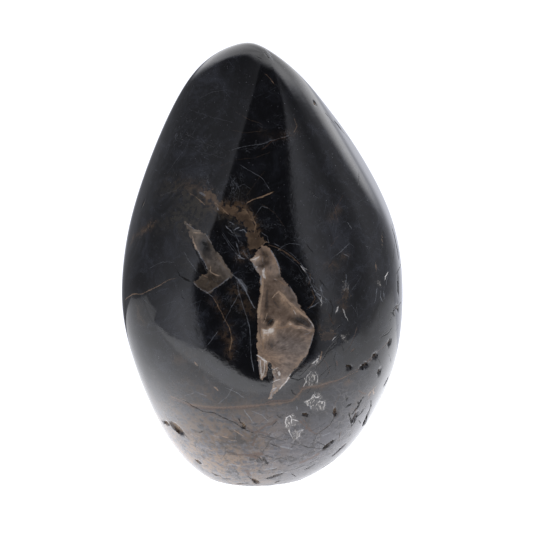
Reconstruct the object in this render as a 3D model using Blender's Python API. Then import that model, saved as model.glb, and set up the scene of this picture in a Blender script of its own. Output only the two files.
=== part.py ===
"""A polished smoky quartz freeform: one solid stone that stands upright on a small flat spot.

The stone is an egg whose sides were ground into broad flats and then polished until the flats
blend into each other. Only the flat at its right shoulder keeps a crisp edge. Small pits, open
cracks and one chip at the lower left were too deep to polish away.

Metres, +Z up. The front faces -Y, and the origin is the middle of the flat spot.
"""

import math

import bmesh
import bpy
import numpy as np
from mathutils import Matrix, Vector

MM = 0.001

# The egg that the flats are ground from, in mm. Its centre is off the origin's axis because the
# flat spot lies a little behind and to the left of it. The flats leave the stone smaller: 70 mm
# wide, 64 mm deep and 113 mm tall.
CENTRE = Vector((1.8, -1.8, 57.5))
HALF_WIDTH = 40.5
HALF_DEPTH = 38.0
RISE = 71.2
DROP = 75.7

# Each flat: where it faces, in degrees round from the front towards the right and in degrees
# up, and how far its plane lies from the egg's centre, in mm.
SOFT_FLATS = (
    ("front, upper right", 18, 25, 31.7),
    ("front, upper middle", -1, 23, 30.9),
    ("front, top left", -34, 31, 34.0),
    ("front, below the tip", -1, 31, 47.4),
    ("front, belly left", -11, -13, 31.3),
    ("front, belly right", 11, -16, 32.7),
    ("front, lower left", -41, -28, 41.2),
    ("front, lower right", 25, -50, 48.9),
    ("left shoulder", -83, 21, 34.4),
    ("left side", -97, -13, 37.2),
    ("left, near the foot", -46, -50, 53.8),
    ("right shoulder", 91, 32, 34.0),
    ("right side", 88, 3, 35.3),
    ("right, lower front", 71, -23, 42.1),
    ("right, lower back", 122, -33, 47.0),
    ("back", 176, 1, 34.5),
    ("back, right side", 138, -8, 38.0),
    ("back, left side", -140, 6, 37.5),
    ("back, upper right", 165, 22, 38.8),
    ("back, upper left", -155, 20, 38.8),
    ("back, top right", 160, 44, 46.5),
    ("back, top left", -150, 41, 46.0),
    ("back, behind the tip", -175, 66, 54.3),
    ("back, below the middle", 178, -20, 39.0),
    ("back, lower right", 142, -32, 43.5),
    ("back, lower left", -135, -26, 42.5),
    ("back, near the foot", 180, -43, 48.0),
)
CRISP_FLATS = (("right shoulder, near the tip", 117, 48, 40.4),)

# The powers of the blends: a high one leaves a crisp edge between two flats, a low one a round
SOFT_BLEND = 12
CRISP_BLEND = 50

# Pits and open cracks: degrees round and up from the centre, then length, width and depth in mm,
# then how far the length is turned up from level, in degrees.
PITS = (
    ("round_pit", 41, -33, 1.6, 1.1, 0.8, -6),
    ("rusty_pit", 48, -32, 2.8, 1.1, 0.9, 32),
    ("upper_right_pit", 52, -28, 1.7, 1.4, 0.9, 43),
    ("right_pit", 58, -35, 2.1, 1.4, 0.9, -74),
    ("rim_pit", 60, -24, 2.2, 1.7, 0.9, 41),
    ("left_chip", -60, -58, 5.0, 2.8, 1.3, -52),
    ("left_rim_crack", -68, -56, 3.4, 1.0, 0.8, 1),
    ("long_rim_crack", 73, 12, 9.0, 0.9, 0.6, -110),
    ("right_rim_crack", 64, -3, 5.6, 0.9, 0.6, -92),
    ("elbow_crack", 64, -12, 4.6, 0.8, 0.6, 150),
    ("low_crack", 47, -63, 4.0, 1.1, 0.9, 54),
    ("low_rim_crack", 62, -65, 4.8, 0.9, 0.7, 70),
    ("dark_groove", 54, -52, 3.4, 1.2, 0.9, 81),
    ("outer_groove", 67, -54, 5.4, 1.1, 0.8, 110),
    ("rim_curve", 74, -42, 3.4, 0.9, 0.6, 32),
    ("middle_pit", 41, -51, 2.6, 1.1, 0.8, 93),
    ("dash", 25, -54, 1.9, 0.9, 0.6, -8),
    ("seam_pit", -13, -59, 1.8, 1.1, 0.8, -68),
    ("left_low_pit", -64, -70, 1.6, 1.3, 0.9, -18),
    ("bottom_crack", 14, -78, 4.3, 0.9, 0.7, 36),
    ("bottom_chip", -12, -80, 3.0, 1.4, 0.9, -62),
    ("top_right_crack", 87, 62, 6.0, 0.9, 0.5, -41),
)

# The back isn't seen in the photograph. Its pits are spread by a rule, this many of them.
BACK_PITS = 8

STONE_DETAIL = 5
PIT_DETAIL = 2


def facing(round_deg, up_deg):
    """The unit direction that lies so far round from the front and so far up."""
    turn, up = math.radians(round_deg), math.radians(up_deg)
    return Vector((math.sin(turn) * math.cos(up), -math.cos(turn) * math.cos(up), math.sin(up)))


def flats_term(rays, flats, power):
    """Sum over the flats of (the ray's share of each flat's distance) to the given power."""
    normals = np.array([facing(turn, up) for _, turn, up, _ in flats])
    distances = np.array([distance for _, _, _, distance in flats])
    share = np.maximum(rays @ normals.T, 0.0) / distances
    return (share**power).sum(axis=1)


def reach(rays):
    """How far the stone's surface lies from its centre along each ray, in mm.

    The egg and the flats each give a share of the ray that they hold. The shares are joined by
    a power mean, which is their largest value with its corners rounded, first for the soft
    flats and then for the crisp one. One over the result is the distance.
    """
    drop_or_rise = np.where(rays[:, 2] > 0.0, RISE, DROP)
    half_axes = np.column_stack((np.full(len(rays), HALF_WIDTH), np.full(len(rays), HALF_DEPTH), drop_or_rise))
    egg = np.linalg.norm(rays / half_axes, axis=1)
    soft = (egg**SOFT_BLEND + flats_term(rays, SOFT_FLATS, SOFT_BLEND)) ** (1.0 / SOFT_BLEND)
    crisp = flats_term(rays, CRISP_FLATS, CRISP_BLEND)
    return 1.0 / (soft**CRISP_BLEND + crisp) ** (1.0 / CRISP_BLEND)


def surface_frame(round_deg, up_deg):
    """The surface point on a ray from the centre, and its level, upward and outward directions."""
    step_deg = 0.5
    turns = (round_deg, round_deg - step_deg, round_deg + step_deg, round_deg, round_deg)
    ups = (up_deg, up_deg, up_deg, up_deg - step_deg, up_deg + step_deg)
    rays = np.array([facing(turn, up) for turn, up in zip(turns, ups)])
    points = [Vector(point) for point in rays * reach(rays)[:, None]]
    outward = (points[2] - points[1]).cross(points[4] - points[3]).normalized()
    if outward.dot(points[0]) < 0.0:
        outward.negate()
    level = Vector((0.0, 0.0, 1.0)).cross(outward).normalized()
    return CENTRE + points[0], level, outward.cross(level), outward


def new_collection(name):
    collection = bpy.data.collections.new(name)
    bpy.context.scene.collection.children.link(collection)
    return collection


def new_object(name, bm, collection):
    """Turns the bmesh into an object of the collection, and frees it."""
    mesh = bpy.data.meshes.new(name)
    bm.to_mesh(mesh)
    bm.free()
    made = bpy.data.objects.new(name, mesh)
    collection.objects.link(made)
    return made


def quartz_material():
    """Nearly black smoky quartz with a hand polish."""
    material = bpy.data.materials.new("polished_smoky_quartz")
    material.use_nodes = True
    shader = material.node_tree.nodes["Principled BSDF"]
    shader.inputs["Base Color"].default_value = (0.012, 0.012, 0.014, 1.0)
    shader.inputs["Metallic"].default_value = 0.0
    shader.inputs["Roughness"].default_value = 0.08
    shader.inputs["IOR"].default_value = 1.544
    return material


def make_stone(collection):
    """An icosphere drawn out to the ground egg, then cut level at its foot."""
    bm = bmesh.new()
    bmesh.ops.create_icosphere(bm, subdivisions=STONE_DETAIL, radius=1.0)
    # The sphere is stretched to the egg's proportions first, so that its triangles stay even
    stretch = np.array((HALF_WIDTH, HALF_DEPTH, (RISE + DROP) / 2))
    rays = np.array([vert.co for vert in bm.verts]) * stretch
    rays /= np.linalg.norm(rays, axis=1)[:, None]
    for vert, ray, distance in zip(bm.verts, rays, reach(rays)):
        vert.co = (CENTRE + Vector(ray) * distance) * MM
    everything = bm.verts[:] + bm.edges[:] + bm.faces[:]
    bmesh.ops.bisect_plane(bm, geom=everything, plane_co=(0, 0, 0), plane_no=(0, 0, 1), clear_inner=True)
    bmesh.ops.holes_fill(bm, edges=[edge for edge in bm.edges if edge.is_boundary])
    bmesh.ops.recalc_face_normals(bm, faces=bm.faces)
    stone = new_object("smoky_quartz", bm, collection)
    stone.data.materials.append(quartz_material())
    stone.data.shade_smooth()
    stone.data.set_sharp_from_angle(angle=math.radians(30))
    return stone


def make_pit_cutter(pit, collection):
    """A lens-shaped cutter sunk into the surface, long the way the crack runs."""
    name, round_deg, up_deg, length, width, depth, turn_deg = pit
    place, level, upward, outward = surface_frame(round_deg, up_deg)
    turn = math.radians(turn_deg)
    along = level * math.cos(turn) + upward * math.sin(turn)
    across = outward.cross(along)
    bm = bmesh.new()
    bmesh.ops.create_icosphere(bm, subdivisions=PIT_DETAIL, radius=1.0)
    axes = Matrix((along * length / 2, across * width / 2, outward * depth)).transposed()
    bmesh.ops.transform(bm, matrix=axes.to_4x4(), verts=bm.verts)
    bmesh.ops.translate(bm, vec=place, verts=bm.verts)
    bmesh.ops.scale(bm, vec=(MM, MM, MM), verts=bm.verts)
    bmesh.ops.recalc_face_normals(bm, faces=bm.faces)
    cutter = new_object("cutter_" + name, bm, collection)
    cutter.hide_render = True
    cutter.display_type = "WIRE"


def back_pits():
    """Pits for the unseen back: even steps round it, at heights that a stride of 3 mixes."""
    for k in range(BACK_PITS):
        round_deg = 112 + 19 * k
        up_deg = -52 + 13 * (3 * k % BACK_PITS)
        yield (f"back_pit_{k}", round_deg, up_deg, 2.0 + 0.4 * (k % 4), 1.1, 0.8, 40 * k)


for leftover in list(bpy.data.objects):
    bpy.data.objects.remove(leftover)

stone_collection = new_collection("smoky_quartz")
cutters = new_collection("cutters")
cutters.hide_render = True

stone = make_stone(stone_collection)
for pit in (*PITS, *back_pits()):
    make_pit_cutter(pit, cutters)

pitting = stone.modifiers.new("pits", "BOOLEAN")
pitting.operation = "DIFFERENCE"
pitting.operand_type = "COLLECTION"
pitting.collection = cutters
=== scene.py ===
import math

import bpy
import numpy as np
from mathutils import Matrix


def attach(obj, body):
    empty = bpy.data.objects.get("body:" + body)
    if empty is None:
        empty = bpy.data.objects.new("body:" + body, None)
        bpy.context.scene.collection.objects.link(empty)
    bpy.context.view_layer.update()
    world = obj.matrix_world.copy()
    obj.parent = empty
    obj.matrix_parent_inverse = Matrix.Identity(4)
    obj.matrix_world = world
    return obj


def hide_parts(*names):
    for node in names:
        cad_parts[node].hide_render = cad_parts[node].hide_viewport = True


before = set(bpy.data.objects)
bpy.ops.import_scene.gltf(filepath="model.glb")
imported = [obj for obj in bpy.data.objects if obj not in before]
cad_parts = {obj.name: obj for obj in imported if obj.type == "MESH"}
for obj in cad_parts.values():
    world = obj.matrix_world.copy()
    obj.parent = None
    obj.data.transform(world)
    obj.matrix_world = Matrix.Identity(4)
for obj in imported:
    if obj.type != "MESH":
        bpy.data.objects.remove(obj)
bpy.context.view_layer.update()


# The viewpoint. A long lens straight in front of the stone, looking 15 degrees down at it.
# One pixel of the square frame covers a quarter of a millimetre at the stone.

FRAME_PX = 533
MM_PER_PX = 0.25
LENS_TO_STONE = 700.0
LOOK_DOWN = math.radians(15.0)
LOOKED_AT = np.array([2.5, -1.8, 56.0])
TO_LENS = np.array([0.0, -math.cos(LOOK_DOWN), math.sin(LOOK_DOWN)])
PICTURE_RIGHT = np.array([1.0, 0.0, 0.0])
PICTURE_UP = np.array([0.0, math.sin(LOOK_DOWN), math.cos(LOOK_DOWN)])
LENS = LOOKED_AT + TO_LENS * LENS_TO_STONE
LENS_PX = LENS_TO_STONE / MM_PER_PX

camera_data = bpy.data.cameras.new("photo_camera")
camera_data.lens = camera_data.sensor_width * LENS_PX / FRAME_PX
camera = bpy.data.objects.new("photo_camera", camera_data)
camera.location = LENS / 1000
camera.rotation_euler = (math.pi / 2 - LOOK_DOWN, 0.0, 0.0)
bpy.context.scene.collection.objects.link(camera)
bpy.context.scene.camera = camera


# The stone: one solid piece of smoky quartz. It was ground into broad flats on a wheel, then
# polished until the flats blend, except one crisp edge below the tip. It stands on a small flat
# spot. Sizes are in mm, and directions in degrees round from the front and up from level.

CENTRE = np.array([1.8, -1.8, 57.5])
HALF_WIDTH, HALF_DEPTH, RISE, DROP = 40.5, 38.0, 71.2, 75.7
SOFT_FLATS = np.array(
    [
        (18, 25, 31.7), (-1, 23, 30.9), (-34, 31, 34.0), (-1, 31, 47.4), (-11, -13, 31.3),
        (11, -16, 32.7), (-41, -28, 41.2), (25, -50, 48.9), (-83, 21, 34.4), (-97, -13, 37.2),
        (-46, -50, 53.8), (91, 32, 34.0), (88, 3, 35.3), (71, -23, 42.1), (122, -33, 47.0),
        (176, 1, 34.5), (138, -8, 38.0), (-140, 6, 37.5), (165, 22, 38.8), (-155, 20, 38.8),
        (160, 44, 46.5), (-150, 41, 46.0), (-175, 66, 54.3), (178, -20, 39.0),
        (142, -32, 43.5), (-135, -26, 42.5), (180, -43, 48.0),
    ]
)
CRISP_FLATS = np.array([(117, 48, 40.4)])
SOFT_BLEND, CRISP_BLEND = 12, 50
POLISHED_AWAY = 0.03  # keeps the fine surface inside the facets of the solid
FRONT_DEG = 100  # how far round to each side the columns stand closer together
FRONT_COLUMNS, BACK_COLUMNS, ROWS = 262, 110, 267
MERIDIAN_STEPS = 4001
NEVER = 1e9


def facing(round_deg, up_deg):
    """Unit directions: (sin r cos u, -cos r cos u, sin u) for r degrees round and u degrees up."""
    turn, up = np.radians(round_deg), np.radians(up_deg)
    return np.stack([np.sin(turn) * np.cos(up), -np.cos(turn) * np.cos(up), np.sin(up)], -1)


def flats_term(rays, flats, power):
    """Sum over the flats of (the ray's share of each flat's distance) to the given power."""
    share = np.maximum(rays @ facing(flats[:, 0], flats[:, 1]).T, 0.0) / flats[:, 2]
    return (share**power).sum(-1)


def reach(rays):
    """Distance from the centre to the surface along each ray.

    One over the power mean of the egg's share and the flats' shares of the ray, taken first over
    the soft flats and then with the crisp one.
    """
    down_or_up = np.where(rays[..., 2] > 0.0, RISE, DROP)
    across = (rays[..., 0] / HALF_WIDTH) ** 2 + (rays[..., 1] / HALF_DEPTH) ** 2
    egg = np.sqrt(across + (rays[..., 2] / down_or_up) ** 2)
    soft = (egg**SOFT_BLEND + flats_term(rays, SOFT_FLATS, SOFT_BLEND)) ** (1 / SOFT_BLEND)
    crisp = flats_term(rays, CRISP_FLATS, CRISP_BLEND)
    return 1 / (soft**CRISP_BLEND + crisp) ** (1 / CRISP_BLEND)


def grid_directions(front_columns, back_columns, rows):
    """Columns: even steps over the front and wider even steps over the back. Rows: equal arc
    lengths down the meridian of the egg, poles left out."""
    front = np.linspace(-FRONT_DEG, FRONT_DEG, front_columns, endpoint=False)
    back = np.linspace(FRONT_DEG, 360 - FRONT_DEG, back_columns, endpoint=False)
    t = np.linspace(0, np.pi, MERIDIAN_STEPS)
    over, up = HALF_DEPTH * np.sin(t), (RISE + DROP) / 2 * np.cos(t)
    length = np.concatenate([[0], np.cumsum(np.hypot(np.diff(over), np.diff(up)))])
    at = np.interp(np.linspace(0, length[-1], rows + 2)[1:-1], length, t)
    up_deg = np.degrees(np.arctan2((RISE + DROP) / 2 * np.cos(at), HALF_DEPTH * np.sin(at)))
    return np.meshgrid(np.concatenate([front, back]), up_deg)


def closed_faces(columns, rows):
    """Quads between neighbouring rows, closed round the columns, and a fan of triangles at each
    pole. Vertex 0 is the top pole, the last one the bottom pole."""
    c = np.arange(columns)
    nxt = (c + 1) % columns
    row = 1 + np.arange(rows - 1)[:, None] * columns
    quads = np.stack([row + c, row + columns + c, row + columns + nxt, row + nxt], -1).reshape(-1, 4)
    low = 1 + (rows - 1) * columns
    top = np.stack([np.zeros(columns, int), 1 + c, 1 + nxt], -1)
    bottom = np.stack([np.full(columns, 1 + rows * columns), low + nxt, low + c], -1)
    return quads, np.concatenate([top, bottom])


round_grid, up_grid = grid_directions(FRONT_COLUMNS, BACK_COLUMNS, ROWS)
rays = facing(round_grid, up_grid).reshape(-1, 3)
rays = np.concatenate([[[0.0, 0.0, 1.0]], rays, [[0.0, 0.0, -1.0]]])
distance = reach(rays) - POLISHED_AWAY
to_floor = np.where(rays[:, 2] < 0.0, CENTRE[2] / np.maximum(-rays[:, 2], 1 / NEVER), NEVER)
on_spot = distance > to_floor
surface = CENTRE + rays * np.minimum(distance, to_floor)[:, None]


# Its pits and open cracks, which were too deep to polish away: where each is, its length, width
# and depth, and how far its length is turned up from level.

PITS = (
    (41, -33, 1.6, 1.1, 0.8, -6), (48, -32, 2.8, 1.1, 0.9, 32), (52, -28, 1.7, 1.4, 0.9, 43),
    (58, -35, 2.1, 1.4, 0.9, -74), (60, -24, 2.2, 1.7, 0.9, 41), (-60, -58, 5.0, 2.8, 1.3, -52),
    (-68, -56, 3.4, 1.0, 0.8, 1), (73, 12, 9.0, 0.9, 0.6, -110), (64, -3, 5.6, 0.9, 0.6, -92),
    (64, -12, 4.6, 0.8, 0.6, 150), (47, -63, 4.0, 1.1, 0.9, 54), (62, -65, 4.8, 0.9, 0.7, 70),
    (54, -52, 3.4, 1.2, 0.9, 81), (67, -54, 5.4, 1.1, 0.8, 110), (74, -42, 3.4, 0.9, 0.6, 32),
    (41, -51, 2.6, 1.1, 0.8, 93), (25, -54, 1.9, 0.9, 0.6, -8), (-13, -59, 1.8, 1.1, 0.8, -68),
    (-64, -70, 1.6, 1.3, 0.9, -18), (14, -78, 4.3, 0.9, 0.7, 36), (-12, -80, 3.0, 1.4, 0.9, -62),
    (87, 62, 6.0, 0.9, 0.5, -41),
)
BACK_PITS = 8
SHALLOW_PITS = ((55, 70, 1.2, 0.9, 0.3, 0), (-78, 28, 2.3, 0.9, 0.3, 80), (56, 17, 5.0, 0.5, 0.2, -115))
PIT_THROUGH = 3.0  # mm over and under the surface within which a pit acts, so not on the far side


def back_pits():
    """Even steps round the unseen back, at heights that a stride of 3 mixes."""
    k = np.arange(BACK_PITS)
    same = np.ones(BACK_PITS)
    up, length = -52 + 13 * (3 * k % BACK_PITS), 2 + 0.4 * (k % 4)
    return np.stack([112 + 19 * k, up, length, 1.1 * same, 0.8 * same, 40 * k], -1)


def local_frame(round_deg, up_deg):
    """Surface point on a ray, and its level, upward and outward unit directions, from the
    differences of the surface half a degree to each side."""
    turns = round_deg + np.array([0, -0.5, 0.5, 0, 0])
    ups = up_deg + np.array([0, 0, 0, -0.5, 0.5])
    rays_near = facing(turns, ups)
    near = rays_near * reach(rays_near)[:, None]
    outward = np.cross(near[2] - near[1], near[4] - near[3])
    outward *= np.sign(outward @ near[0]) / np.linalg.norm(outward)
    level = np.cross([0.0, 0.0, 1.0], outward)
    level /= np.linalg.norm(level)
    return CENTRE + near[0], level, np.cross(outward, level), outward


def sink_pits(points, pits):
    """Lens-shaped dents: depth times sqrt(1 - a^2 - b^2), a and b being the offset along and
    across the pit in shares of its half length and half width."""
    sunk = np.zeros(len(points))
    moved = points.copy()
    for round_deg, up_deg, length, width, depth, turn_deg in pits:
        place, level, upward, outward = local_frame(round_deg, up_deg)
        turn = math.radians(turn_deg)
        along = level * math.cos(turn) + upward * math.sin(turn)
        offset = points - place
        a = offset @ along / (length / 2)
        b = offset @ np.cross(outward, along) / (width / 2)
        inside = np.where(np.abs(offset @ outward) < PIT_THROUGH, np.clip(1 - a**2 - b**2, 0, 1), 0)
        moved -= outward * (depth * np.sqrt(inside))[:, None]
        sunk = np.maximum(sunk, np.sqrt(inside))
    return moved, sunk


dented, pit_depth = sink_pits(surface, (*PITS, *back_pits(), *SHALLOW_PITS))
dented[:, 2] = np.maximum(dented[:, 2], 0.0)
quads, fans = closed_faces(FRONT_COLUMNS + BACK_COLUMNS, ROWS)
stone_mesh = bpy.data.meshes.new("smoky_quartz_polished")
stone_mesh.from_pydata(dented / 1000, [], quads.tolist() + fans.tolist())
stone_mesh.shade_smooth()
stone_mesh.set_sharp_from_angle(angle=math.radians(40))
stone = bpy.data.objects.new("polished_stone", stone_mesh)
bpy.context.scene.collection.objects.link(stone)
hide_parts("smoky_quartz")
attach(stone, "root")


# Its inclusions. They are colour under the polish, so each is a field over the surface. The ones
# on the front are drawn as the lens sees them, in pixels, and carried onto the stone.

SIGHT_DEPTHS = np.arange(640.0, 762.0, 0.5)  # mm from the lens, from before the stone to past it
SLOPE_STEP = 0.1  # mm
GRAZING = 0.02  # cosine of the steepest slant at which the lens still sees a mark


def seen_at(points):
    """Pixels right and down where the lens sees points: the lens's pixels times the offset
    across the view over the depth along it, from the middle of the frame."""
    depth = (LENS - points) @ TO_LENS
    right = FRAME_PX / 2 + LENS_PX * ((points - LENS) @ PICTURE_RIGHT) / depth
    return np.stack([right, FRAME_PX / 2 - LENS_PX * ((points - LENS) @ PICTURE_UP) / depth], -1)


def gauge(points):
    """Distance from the centre over the stone's reach that way: 1 on the surface."""
    offset = points - CENTRE
    far = np.linalg.norm(offset, axis=-1)
    return far / reach(offset / far[..., None])


def on_stone(pixels):
    """Points of the stone behind pixels. Each pixel's sight line is sampled in even steps, and
    the surface is where the gauge falls through 1, or its nearest miss."""
    pixels = np.asarray(pixels, float).reshape(-1, 2)
    across = (pixels - FRAME_PX / 2) / LENS_PX
    sight = -TO_LENS + across[:, :1] * PICTURE_RIGHT - across[:, 1:] * PICTURE_UP
    points = LENS + sight[:, None] * SIGHT_DEPTHS[:, None]
    level = gauge(points)
    inside = level < 1
    first = np.where(inside.any(1), inside.argmax(1), level.argmin(1))
    pick = np.arange(len(pixels))
    before, after = level[pick, first - 1], level[pick, first]
    back = np.where(inside.any(1), (1 - after) / (before - after), 0)
    hit = points[pick, first] + (points[pick, first - 1] - points[pick, first]) * back[:, None]
    return CENTRE + (hit - CENTRE) / gauge(hit)[:, None]


def outward_at(points):
    """Outward unit normals: the gauge's slope, from its change a small step off each way."""
    steps = np.eye(3) * SLOPE_STEP
    slope = np.stack([gauge(points + step) - gauge(points - step) for step in steps], -1)
    return slope / np.linalg.norm(slope, axis=-1, keepdims=True)


def along_path(points, path):
    """Nearest distance from points to a path of straight steps, signed by the side that the
    point lies on, and how far it lies beyond the path's ends."""
    best = np.full(len(points), NEVER)
    signed = np.full(len(points), NEVER)
    beyond = np.zeros(len(points))
    last = len(path) - 2
    for k in range(last + 1):
        step = path[k + 1] - path[k]
        length = max(np.linalg.norm(step), 1e-6)
        side = np.cross(outward_at(path[k : k + 1])[0], step / length)
        run = (points - path[k]) @ step / length
        off = points - path[k] - np.clip(run, 0, length)[:, None] * step / length
        far = np.linalg.norm(off, axis=1)
        nearer = far < best
        before = -run if k == 0 else 0.0
        after = run - length if k == last else 0.0
        best = np.where(nearer, far, best)
        signed = np.where(nearer, far * np.where(off @ side < 0, -1, 1), signed)
        beyond = np.where(nearer, np.maximum(np.maximum(before, after), 0.0), beyond)
    return best, signed, beyond


def close_by(path, margin_px):
    """The points in sight whose pixels lie within half the path's span, and a margin, of the
    mean of its corners."""
    corners = np.reshape(path, (-1, 2))
    inside = np.abs(pixel_of - corners.mean(0)) < np.ptp(corners, axis=0) / 2 + margin_px
    return np.flatnonzero(in_sight & inside.all(1))


pixel_of = seen_at(surface)
to_lens = LENS - surface
in_sight = (outward_at(surface) * to_lens).sum(1) > GRAZING * np.linalg.norm(to_lens, axis=1)
in_sight &= ~on_spot
fields = {"pit": pit_depth}


# Lines in the stone: healed cracks and veins, and on the main flake also painted highlights and
# painted shade of its relief. Each has a tone, from 0 for an open dark crack through rust and tan
# to 1 for white, and a strength, then half its width in mm and its path.

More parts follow.
